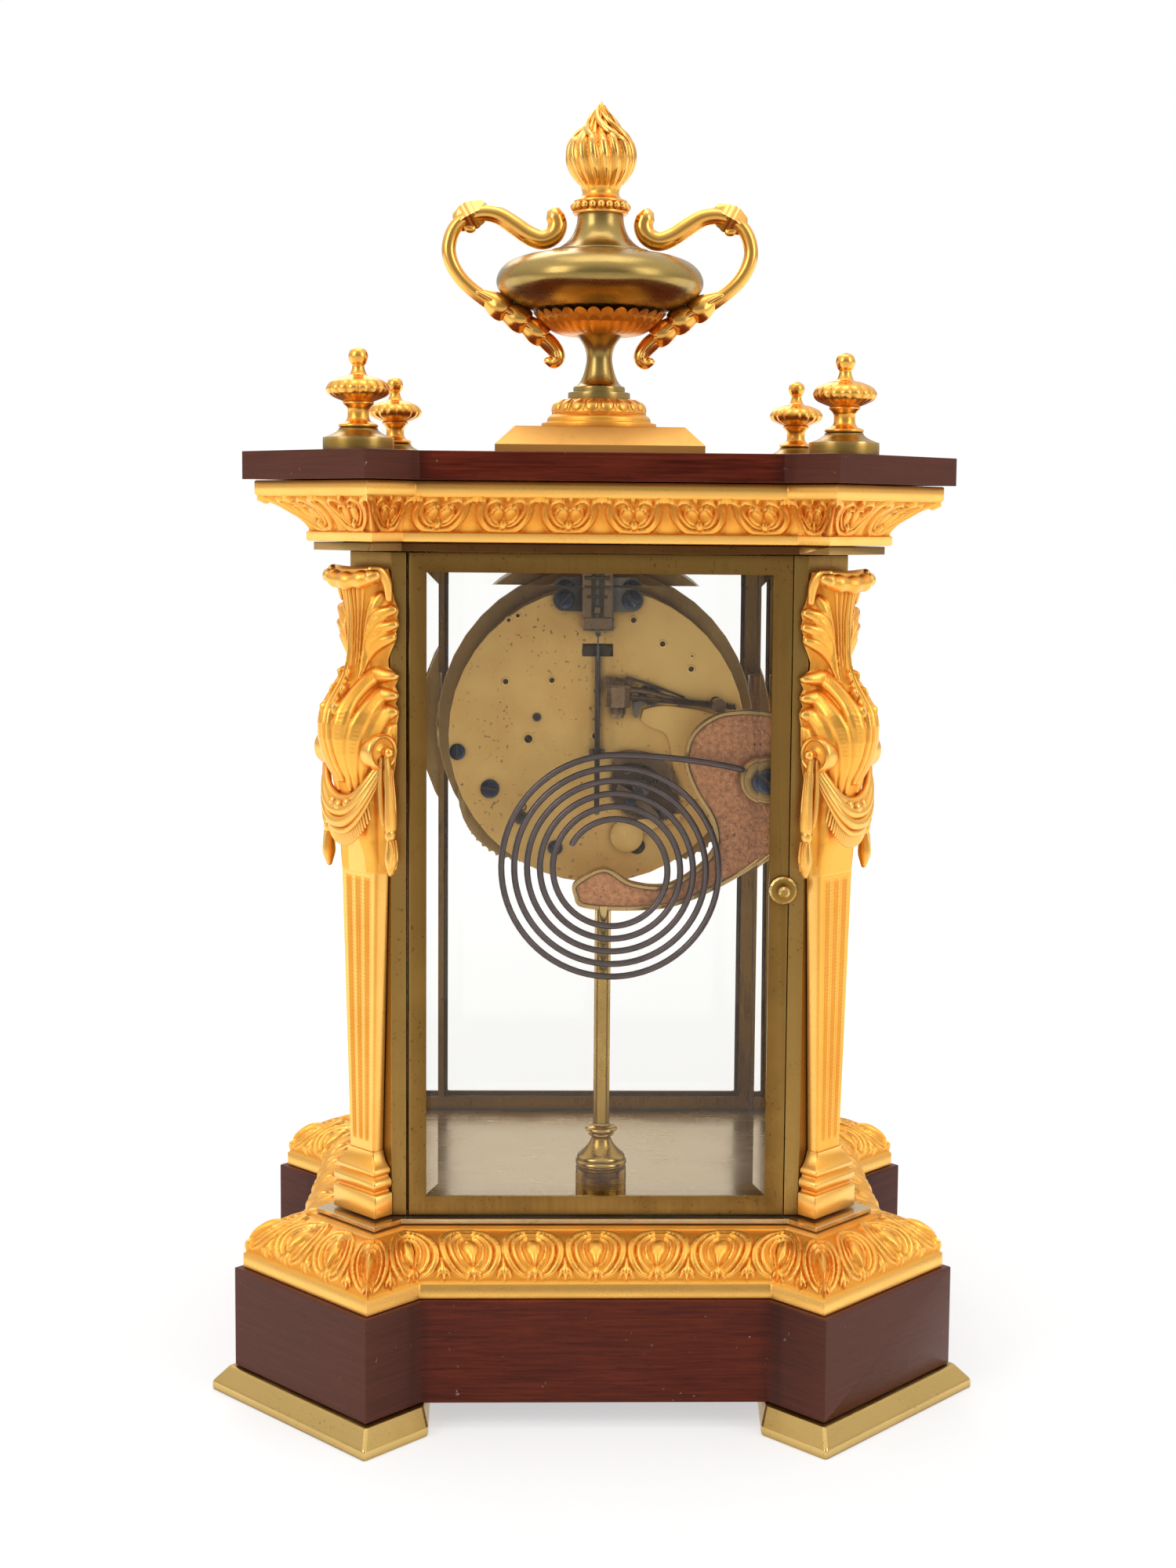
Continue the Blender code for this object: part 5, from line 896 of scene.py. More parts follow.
def console_shaft(shape):
    """The shaft, widening upward, with three flutes between rows of beads."""
    rows = np.linspace(SHAFT_LOW, SHAFT_HIGH, 300)
    turn = np.linspace(-1, 1, 73)
    climb = (rows - SHAFT_LOW) / 98.0
    half = 6.2 + climb * 3.2
    front = 4.5 + climb * 1.1
    ends = np.clip(np.minimum(rows - FLUTE_LOW, FLUTE_HIGH - rows) / 1.6, 0, 1)[:, None]
    flute = np.zeros_like(turn)
    bead = np.zeros_like(turn)
    for middle in (-0.5, 0.0, 0.5):
        flute = np.maximum(flute, np.clip(1 - ((turn - middle) / 0.13) ** 2, 0, 1) ** 0.6)
        bead = np.maximum(bead, np.clip(1 - ((np.abs(turn - middle) - 0.17) / 0.045) ** 2, 0, 1))
    dots = 0.5 + 0.5 * np.cos(rows * 2 * math.pi / 1.25)[:, None]
    lift = (bead[None] * (0.08 + 0.16 * dots) - FLUTE_DEPTH * flute[None]) * ends
    edge = np.clip((np.abs(turn) - 0.86) / 0.14, 0, 1)[None]
    across = turn[None] * half[:, None]
    outward = front[:, None] + lift - edge ** 2 * 1.0
    face = np.stack([across, outward, rows[:, None] + 0 * across], -1)
    seat = 0 * half + CONSOLE_BACK
    back = np.stack([np.column_stack([half, seat, rows]), np.column_stack([-half, seat, rows])], 1)
    section = np.concatenate([face, back], 1)
    hollow = np.concatenate([flute[None] * ends, np.zeros((len(rows), 2))], 1)
    shape.tube(section, hollow)


def console_leaf(shape):
    """The scrolled leaf: height, half width, depth and squareness of its section, then its skirt."""
    levels = np.arange(180.5, 281.6, 0.42)
    form = np.array([
        (180.5, 9.5, 5.4, 8.0, 6.0, 1.0), (186.0, 9.4, 6.0, 8.0, 6.0, 1.0),
        (192.0, 9.4, 7.0, 5.0, 6.0, 1.0), (198.0, 9.6, 8.6, 3.5, 6.0, 1.0),
        (204.0, 10.0, 10.0, 2.6, 8.0, 2.0), (209.0, 10.4, 11.2, 2.2, 10.0, 3.0),
        (213.0, 11.0, 12.8, 2.0, 12.0, 4.0), (217.0, 12.0, 15.2, 2.0, 13.0, 5.0),
        (221.0, 12.8, 17.0, 2.0, 13.4, 5.0), (226.0, 13.2, 18.3, 2.0, 13.8, 5.0),
        (231.0, 13.0, 18.4, 2.0, 13.8, 5.0), (234.7, 12.4, 17.6, 2.0, 15.0, 5.0),
        (237.4, 11.4, 16.2, 2.0, 13.0, 5.0), (239.9, 10.2, 14.4, 2.0, 15.0, 4.6),
        (243.0, 8.8, 12.2, 2.0, 12.8, 4.2), (246.4, 7.2, 10.4, 2.0, 15.0, 4.2),
        (249.0, 6.0, 9.4, 2.1, 9.6, 4.8), (251.6, 5.2, 9.0, 2.2, 9.4, 5.2),
        (255.0, 5.0, 8.6, 2.3, 11.2, 5.6), (258.6, 5.2, 8.4, 2.4, 13.6, 5.8),
        (261.0, 5.6, 8.3, 2.4, 13.2, 5.8), (263.0, 6.0, 8.2, 2.4, 15.0, 5.6),
        (265.6, 6.4, 8.2, 2.3, 13.8, 5.5), (268.0, 6.8, 8.4, 2.2, 14.6, 5.3),
        (271.0, 7.6, 8.8, 2.2, 12.6, 5.0), (274.0, 8.8, 9.2, 2.3, 11.4, 4.8),
        (278.0, 10.0, 9.2, 2.6, 10.8, 4.4), (281.6, 9.4, 7.6, 3.0, 9.0, 4.0),
    ])
    half, deep, square, skirt, thick = (
        np.interp(levels, form[:, 0], form[:, column])[:, None] for column in range(1, 6))
    turn = np.linspace(-1, 1, 127)[None]
    sine, cosine = np.abs(np.sin(turn * math.pi / 2)), np.cos(turn * math.pi / 2)
    cosine = np.maximum(cosine, 1e-6)
    body = ((sine / half) ** square + (cosine / deep) ** square) ** (-1 / square)
    apron = ((sine / skirt) ** 2 + (cosine / thick) ** 2) ** -0.5
    reach = np.maximum(body, apron)
    section = np.stack([
        reach * sine * np.sign(turn), CONSOLE_BACK + reach * cosine, levels[:, None] + 0 * reach], -1)
    relief = acanthus().sample(turn * 20.0, levels[:, None] - LEAF_FOOT) / MM
    onset = np.clip((levels[:, None] - 205) / 8, 0, 1)
    lift = (relief - 0.7 * onset) * np.clip((1 - np.abs(turn)) / 0.05, 0, 1)
    outward = unit(np.cross(np.gradient(section, axis=0), np.gradient(section, axis=1)))
    section = section + outward * lift[..., None]
    section[..., 1] = np.maximum(section[..., 1], CONSOLE_BACK)
    shape.tube(section, np.clip(1 - relief, 0, 1) * onset)


def console_scrolls(shape):
    """The rolled crest under the cornice, and the discs with their pins at the sides."""
    sweep = np.linspace(-1, 1, 41)
    roll = [(10.4 * s, 10.0 - 2.2 * s * s, 277.4 + 1.2 * s * s) for s in sweep]
    sizes = [2.9 + 0.35 * math.cos(s * math.pi * 3.2) for s in sweep]
    shape.strand(roll, sizes, 0.95, (0, 0, 1), 20, 2)
    shape.strand(
        [(10.0 * s, 7.4 - 1.4 * s * s, 280.0 + 0.8 * s * s) for s in sweep],
        [2.3 - 0.5 * abs(s) ** 3 for s in sweep], 0.85, (0, 0, 1), 16, 2)
    shape.pair([(10.6, 8.6, 278.8), (11.8, 8.1, 279.2)], [2.5, 2.1], 1.0, (0, 1, 0), 14, 4)
    shape.pair([(12.6, 8.0, 279.2), (13.3, 7.8, 279.3)], [1.1, 0.7], 1.0, (0, 1, 0), 12, 3)
    shape.pair(
        [(10.2, 8.0, 281.0), (11.6, 5.4, 280.4), (12.2, 3.2, 276.8), (12.0, 2.2, 271.5)],
        [1.5, 1.7, 1.6, 1.1], 0.8, (1, 0, 0), 12, 5)

    turn = around(36)
    disc = (
        (5.6, 9.0), (6.1, 9.4), (6.2, 13.4), (5.9, 14.3), (5.3, 14.8), (4.8, 14.6), (4.5, 13.9),
        (3.3, 13.7), (2.5, 14.0), (1.6, 14.4), (0.02, 14.6),
    )
    for hand in (1, -1):
        shape.tube([
            np.stack([
                0 * turn + hand * across, 6.64 + radius * np.cos(turn), 221.75 + radius * np.sin(turn),
            ], -1)
            for radius, across in disc
        ])
        pin = [(hand * 13.4, 6.6, 221.8), (hand * 15.6, 6.4, 221.8)]
        shape.strand(pin, [1.5, 1.2], 1.0, (0, 1, 0), 14, 3)
        shape.ball((hand * 16.6, 6.3, 221.8), 1.75, 20, 14)


def console_drapery(shape):
    """The swag with its fringe and fruit, and the ribbons and tassels that hang beside it."""
    folds = ((0.0, -1.0, 1.7), (1.4, -4.4, 2.0), (1.8, -8.0, 1.9), (0.9, -11.0, 1.3))
    for out, drop, size in folds:
        route = []
        for s in np.linspace(-1, 1, 13):
            sag = 1 - abs(s) ** 2.4
            route.append((
                13.6 * s, 7.4 + out * sag + 4.4 * (1 - s ** 4),
                219.0 + drop * sag - 12.6 * sag - 1.8 * abs(drop) * 0.3 * (1 - sag),
            ))
        widths = [size * (0.55 + 0.55 * (1 - abs(s) ** 2)) for s in np.linspace(-1, 1, 13)]
        shape.strand(route, widths, 0.85, (0, 0.6, 0.8), 10, 4)
    for s in np.linspace(-0.82, 0.82, 31):
        sag = 1 - abs(s) ** 2.4
        top = (13.2 * s, 8.1 + sag + 3.6 * (1 - s ** 4), 209.4 - 14.6 * sag)
        foot = (top[0], top[1] - 1.0, top[2] - 4.2)
        shape.strand([top, foot], [0.46, 0.5], 1.0, (0, 1, 0), 6, 2)
    for across, out, up, size in (
        (0, 13.6, 203.6, 2.1), (3.6, 13.2, 204.6, 1.8), (-3.6, 13.2, 204.6, 1.8), (6.6, 11.6, 206.6, 1.6),
        (-6.6, 11.6, 206.6, 1.6), (1.9, 12.8, 201.2, 1.5), (-1.9, 12.8, 201.2, 1.5),
        (5.2, 11.6, 202.6, 1.4), (-5.2, 11.6, 202.6, 1.4),
    ):
        shape.ball((across, out, up), (size, size * 0.8, size), 12, 8)
    shape.pair(
        [(15.9, 6.4, 220.5), (16.2, 5.8, 213), (16.4, 5.4, 205), (16.2, 5.0, 197.5), (16.0, 4.8, 195)],
        [1.1, 1.8, 2.4, 2.6, 1.7], 0.5, (1, 0, 0), 12, 5)
    shape.pair(
        [(14.4, 7.6, 219.5), (14.2, 7.6, 211), (14.4, 7.0, 203), (14.6, 6.4, 198.5)],
        [0.8, 1.2, 1.5, 1.3], 0.6, (1, 0, 0), 10, 5)
    shape.pair([(15.8, 5.0, 195.4), (15.8, 5.0, 194.0)], [2.1, 2.1], 0.75, (1, 0, 0), 12, 3)
    shape.pair(
        [(15.8, 5.0, 193.0), (16.1, 4.9, 189), (16.2, 4.8, 185.5), (16.0, 4.8, 182.0)],
        [1.6, 2.4, 2.6, 1.3], 0.6, (1, 0, 0), 12, 5)
    for shift in (-1.1, 0.0, 1.1):
        shape.pair(
            [(17.0, 4.9 + shift, 192.6), (17.3, 4.9 + shift * 1.2, 187.5), (16.9, 4.8 + shift, 183.2)],
            [0.35, 0.5, 0.3], 1.0, (1, 0, 0), 6, 4)
        shape.pair(
            [(16.9, 5.8 + shift * 0.6, 216), (17.1, 5.4 + shift, 206), (16.9, 5.0 + shift, 196.5)],
            [0.3, 0.5, 0.4], 1.0, (1, 0, 0), 6, 4)


def make_consoles():
    """The same console at each corner."""
    drawn = Shape()
    console_foot(drawn)
    console_shaft(drawn)
    console_leaf(drawn)
    console_scrolls(drawn)
    console_drapery(drawn)
    for corner, (side_x, side_y) in CORNERS.items():
        def onto_post(points):
            across, outward, up = points.T * MM
            x = CHAMFER_X + (outward - across) * DIAGONAL
            y = CHAMFER_Y + (outward + across) * DIAGONAL
            return np.column_stack([side_x * x, side_y * y, up])
        drawn.moved(onto_post).piece(
            "gilt_console_" + corner, GILT, "gilt", ["console_" + corner], sharp=48)


# Urn and finials

BOWL_RADIUS = 36.7
FLAME_TWIST = 7.0                     # the flutes' phase gained up the flame, in radians


def make_urn_plate():
    """The square plate with its bevelled top."""
    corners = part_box("urn_plate")
    half = (corners[1].x - corners[0].x) / 2
    low, high = (corner.z for corner in corners)
    plate = Shape()
    soft = 0.35 * MM
    rows = []
    for reach, level in (
        (half - soft, low), (half, low + soft), (half, low + 3.7 * MM), (half - soft, low + 4.1 * MM),
        (half - 6.3 * MM, high - soft), (half - 6.8 * MM, high),
    ):
        rows.append([(x * reach, y * reach, level) for x, y in SQUARE])
    plate.tube(rows)
    plate.piece("bevelled_urn_plate", MATT_GILT, "gilt", ["urn_plate"], sharp=20)


def make_urn_foot():
    """The socle with its ring of eggs, and the turned stem."""
    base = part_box("urn_socle")[0].z / MM
    socle = Shape()
    rings = [
        (20.3, 0.0), (20.5, 0.25), (20.5, 1.6), (20.2, 1.9), (18.9, 2.0), (18.6, 2.3), (18.5, 2.6),
        (18.3, 3.6), (17.6, 4.4), (16.9, 4.8), (16.6, 5.2), (16.8, 5.5), (16.7, 5.9), (16.1, 7.4),
        (15.0, 8.9), (13.2, 9.9), (12.0, 10.3), (3.0, 10.4),
    ]
    socle.lathe(rings, base, sides=160, steps=4)
    for number in range(18):
        turn = 2 * math.pi * number / 18
        outward = np.array([math.cos(turn), math.sin(turn), 0.0])
        sideways = np.array([-math.sin(turn), math.cos(turn), 0.0])
        for spread, size in ((0.0, 2.15), (2.75, 0.5)):
            route = [
                (outward * radius + sideways * spread * (radius / 16.4) + np.array([0, 0, base + up])) * MM
                for radius, up in ((16.3, 5.7), (16.1, 6.9), (15.4, 8.3), (14.1, 9.4))
            ]
            widths = [size * share * MM for share in (0.62, 0.95, 1.0, 0.6)]
            socle.strand(route, widths, 0.42 if spread == 0 else 1.0, tuple(outward + (0, 0, 0.5)), 14, 4)
    socle.piece("gilt_socle", GILT, "gilt", ["urn_socle"])
    stem = Shape()
    rings = [
        (11.0, 10.4), (11.05, 10.6), (11.05, 12.4), (10.8, 12.8), (9.4, 12.9), (9.2, 13.1), (9.2, 14.5),
        (8.9, 14.9), (7.6, 15.6), (6.4, 17.4), (5.4, 20.0), (4.7, 23.0), (4.5, 25.2), (4.9, 27.6),
        (5.9, 30.0), (7.4, 32.0), (8.4, 33.0),
    ]
    stem.lathe(rings, base, steps=5)
    stem.piece("turned_stem", URN_BRASS, "brass", ["urn_socle"])


def make_urn_bowl():
    """The petalled calyx and the spun bowl that sits in it."""
    foot, top = (corner.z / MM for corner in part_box("urn_bowl"))
    foot -= 0.9
    top -= 1.9
    calyx = Shape()
    petals = 30
    turn = around(petals * 16)[None]
    wave = np.abs(np.cos(turn * petals / 2))
    rows = np.linspace(0, 1, 26)[:, None]
    rib = np.abs(np.cos(turn * petals / 2 + math.pi / 2))
    radius = 8.4 + 14.6 * rows ** 0.55 + 0.9 * rows ** 6
    scallop = 1.7 * (wave ** 0.6) * rows ** 3
    radius = radius - 1.3 * (1 - wave) ** 1.4 * (0.3 + rows) + 0.3 * (rib ** 8) * rows
    height = foot + 0.2 + 6.4 * rows ** 1.5 + scallop
    hollow = (1 - wave) ** 1.5 * (0.3 + 0.7 * rows)
    lip = np.stack([radius * np.cos(turn), radius * np.sin(turn), height], -1) * MM
    inner_radius = radius[-1:] - np.array([[0.5], [2.2]])
    inner_height = height[-1:] - np.array([[0.15], [2.6]])
    inner = np.stack([inner_radius * np.cos(turn), inner_radius * np.sin(turn), inner_height], -1) * MM
    calyx.tube(
        np.concatenate([lip, inner]), np.concatenate([hollow, np.ones((2, turn.shape[1]))]))
    calyx.piece("petalled_calyx", GILT, "gilt", ["urn_bowl"])
    bowl = Shape()
    profile = [
        (0.22, 0.06), (0.34, 0.15), (0.48, 0.235), (0.65, 0.305), (0.80, 0.375), (0.905, 0.45),
        (0.975, 0.535), (1.0, 0.615), (0.992, 0.70), (0.95, 0.79), (0.87, 0.87), (0.74, 0.93),
        (0.62, 0.96), (0.5, 0.985), (0.44, 1.0), (0.2, 1.0),
    ]
    rings = [(BOWL_RADIUS * across, (top - foot) * up) for across, up in profile]
    bowl.lathe(rings, foot, sides=192)
    bowl.piece("spun_bowl", URN_BRASS, "brass", ["urn_bowl"])


def make_urn_neck():
    """The flared neck and its beaded collar."""
    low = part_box("urn_collar")[0].z / MM - 1.9
    neck = Shape()
    rings = [
        (17.2, -1.2), (17.5, -1.0), (17.5, -0.2), (17.2, 0.1), (16.2, 0.3), (15.0, 0.8), (12.6, 2.4),
        (10.5, 4.6), (9.2, 7.0), (8.4, 9.6), (8.1, 12.0), (8.1, 12.8),
    ]
    neck.lathe(rings, low, sides=128, steps=4)
    neck.piece("flared_neck", URN_BRASS, "brass", ["urn_collar"])
    collar = Shape()
    rings = [
        (8.3, 12.6), (9.5, 12.7), (9.8, 13.0), (9.8, 13.6), (9.3, 13.9), (9.0, 14.2), (9.0, 16.4),
        (9.3, 16.6), (9.5, 17.0), (9.3, 17.5), (8.4, 17.9), (7.2, 18.5), (6.6, 19.6), (6.4, 21.0),
    ]
    collar.lathe(rings, low, steps=3)
    for number in range(20):
        turn = 2 * math.pi * number / 20
        centre = (9.3 * MM * math.cos(turn), 9.3 * MM * math.sin(turn), (low + 15.3) * MM)
        collar.ball(centre, (1.45 * MM, 1.45 * MM, 1.5 * MM), 16, 12)
    collar.piece("beaded_collar", BURNISHED_GILT, "gilt", ["urn_collar"])


def make_flame():
    """The flame: a fluted bulb whose tongues twist to a point."""
    low, high = (corner.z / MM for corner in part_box("urn_flame"))
    low -= 0.7
    tall = high - low
    shape = Shape()
    rings = [
        (6.4, 0.0, 0.1), (7.0, 0.07, 0.25), (9.2, 0.154, 0.45), (11.0, 0.24, 0.6), (12.1, 0.34, 0.75),
        (12.2, 0.425, 0.9), (11.6, 0.51, 1.1), (10.2, 0.58, 1.2), (8.2, 0.635, 1.2), (6.4, 0.70, 1.0),
        (5.0, 0.76, 0.9), (3.6, 0.82, 0.7), (2.3, 0.885, 0.4), (1.1, 0.946, 0.1), (0.1, 0.985, 0.0),
    ]
    flutes = 17
    shape.lathe(
        [(radius, tall * up, depth) for radius, up, depth in rings], low, sides=flutes * 18,
        flutes=flutes, twist=FLAME_TWIST / (tall * MM))
    heights = [ring[1] for ring in rings]
    radii = [ring[0] for ring in rings]
    for number in range(flutes):
        start = 2 * math.pi * number / flutes
        lift = (0.0, 0.07, 0.025, 0.10, 0.045)[number % 5]
        route = []
        widths = []
        for step in range(9):
            share = step / 8
            up = 0.12 + share * (0.46 + lift)
            radius = np.interp(up, heights, radii) - 0.25 + 1.0 * max(0.0, share - 0.75)
            turn = start - FLAME_TWIST * up / flutes
            route.append((
                radius * MM * math.cos(turn), radius * MM * math.sin(turn), (low + tall * up) * MM))
            widths.append(MM * (0.45 + 0.8 * math.sin(math.pi * min(1, share * 0.6 + 0.02))))
        widths[-1] = 0.25 * MM
        shape.strand(route, widths, 0.6, (math.cos(start), math.sin(start), 0.2), 10, 4)
    for number in range(7):
        start = 2 * math.pi * number / 7 + 0.4
        tip = 0.86 + 0.045 * (number % 3)
        route = []
        for step in range(7):
            share = step / 6
            up = 0.56 + share * (tip - 0.56)
            radius = np.interp(up, heights, radii)
            turn = start - 1.5 * share
            route.append((
                (radius + 0.25) * MM * math.cos(turn), (radius + 0.25) * MM * math.sin(turn),
                (low + tall * up) * MM))
        shape.strand(
            route, [size * MM for size in (0.5, 1.2, 1.35, 1.2, 0.95, 0.6, 0.15)], 0.8,
            (math.cos(start), math.sin(start), 0), 10, 4)
    shape.strand(
        [(0.9 * MM, 0, (low + tall * 0.8) * MM), (-0.5 * MM, 0.4 * MM, (low + tall * 0.9) * MM),
         (0, 0, (low + tall - 0.25) * MM)],
        [1.7 * MM, 0.9 * MM, 0.15 * MM], 0.9, (1, 0, 0), 10, 5)
    shape.piece("twisted_flame", BURNISHED_GILT, "gilt", ["urn_flame"], sharp=50)


def make_handles():
    """Scrolled handles with a fluted collar and leaves that clasp the bowl."""
    route = [
        (16.0, 404.6, 3.3), (15.2, 401.6, 3.4), (16.6, 398.2, 3.4), (20.4, 396.4, 3.4),
        (25.2, 397.8, 3.4), (30.4, 401.2, 3.3), (35.6, 404.4, 3.1), (40.4, 405.4, 2.9),
        (44.6, 404.8, 2.7), (48.4, 403.2, 2.6), (51.2, 400.4, 2.5), (53.0, 396.6, 2.5),
        (53.6, 392.0, 2.5), (52.2, 387.0, 2.5), (49.2, 382.4, 2.5), (45.2, 378.6, 2.5),
        (41.0, 375.6, 2.7), (37.6, 373.8, 3.0),
    ]
    knuckles = [
        [(43.4, 377.6, 1.8), (39.4, 375.4, 3.4), (36.0, 373.2, 4.8), (33.4, 371.4, 4.5),
         (32.2, 370.6, 2.6)],
        [(36.4, 373.4, 2.6), (32.4, 371.0, 3.8), (28.8, 368.8, 4.9), (26.2, 367.2, 4.4),
         (25.2, 366.6, 2.4)],
        [(29.6, 369.2, 2.4), (25.6, 366.6, 3.6), (22.2, 364.0, 4.5), (20.0, 362.2, 3.9),
         (19.2, 361.6, 2.2)],
        [(22.8, 364.0, 2.2), (18.8, 361.0, 3.1), (15.8, 357.8, 2.9), (14.9, 355.2, 2.6),
         (16.2, 353.5, 2.2), (18.2, 354.0, 1.6)],
    ]
    for name, side in (("left", -1), ("right", 1)):
        shape = Shape()

        def bar(rows, thickness=1.0, face=(0, 1, 0), sides=20, steps=6, depth=0.0):
            shape.strand(
                [(side * x * MM, depth * MM, z * MM) for x, z, _ in rows],
                [size * MM for _, _, size in rows], thickness, face, sides, steps)

        bar(route)
        for knuckle in knuckles:
            bar(knuckle, 0.95)
            for depth in (-1, 1):
                bar([(x, z, size * 0.32) for x, z, size in knuckle[:4]], 0.8, (0, depth, 0), 10, 5,
                    depth * knuckle[1][2] * 0.82)
        for number, size in enumerate((3.3, 4.6, 3.9, 5.1, 4.1, 4.9, 3.4)):
            x, z = 43.2 + 0.8 * number, 405.9 - 0.42 * number
            bar([(x - 0.34, z + 0.18, size), (x + 0.34, z - 0.18, size)], 0.66, (0, 1, 0), 4, 1)
        bar([(48.4, 401.6, 1.3), (46.8, 400.2, 1.6), (45.4, 400.0, 1.5), (44.7, 400.9, 0.8)], 0.8)
        shape.piece(
            "scrolled_handle_" + name, BURNISHED_GILT, "gilt", ["urn_handle_" + name], sharp=50)


def make_finials():
    """Gadrooned gilt finials on turned brass feet."""
    for corner in CORNERS:
        low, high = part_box("finial_" + corner)
        centre = ((low.x + high.x) / 2, (low.y + high.y) / 2)
        base = low.z / MM
        foot = Shape()
        rings = [
            (11.2, 0.0), (11.4, 0.2), (11.4, 3.6), (11.1, 3.9), (9.0, 4.7), (7.3, 5.6), (6.3, 6.5),
            (6.1, 7.0), (3.0, 7.2),
        ]
        foot.lathe(rings, base, centre, steps=3)
        foot.piece("finial_foot_" + corner, FOOT_BRASS, "foot_brass", ["finial_" + corner])
        top = Shape()
        rings = [
            (6.0, 7.2, 0), (6.3, 7.5, 0), (6.3, 8.0, 0), (5.6, 8.4, 0), (4.3, 9.0, 0), (3.5, 10.4, 0),
            (3.5, 12.8, 0), (4.4, 14.2, 0), (5.0, 14.7, 0), (5.0, 15.2, 0), (4.9, 15.5, 0.1),
            (6.7, 16.2, 0.3), (9.3, 17.4, 0.5), (10.3, 18.9, 0.55), (10.2, 20.1, 0.55), (8.8, 21.8, 0.4),
            (5.6, 23.2, 0.2), (3.7, 23.6, 0.1), (3.0, 23.9, 0), (2.5, 24.6, 0), (2.0, 26.0, 0),
            (2.0, 27.0, 0), (2.6, 27.8, 0), (3.05, 29.2, 0), (3.1, 30.3, 0), (2.6, 31.6, 0),
            (1.7, 32.3, 0), (0.5, 32.7, 0),
        ]
        top.lathe(rings, base, centre, 221, 4, flutes=17)
        top.piece("gadrooned_finial_" + corner, BURNISHED_GILT, "gilt", ["finial_" + corner])


# Gong, movement and dial side

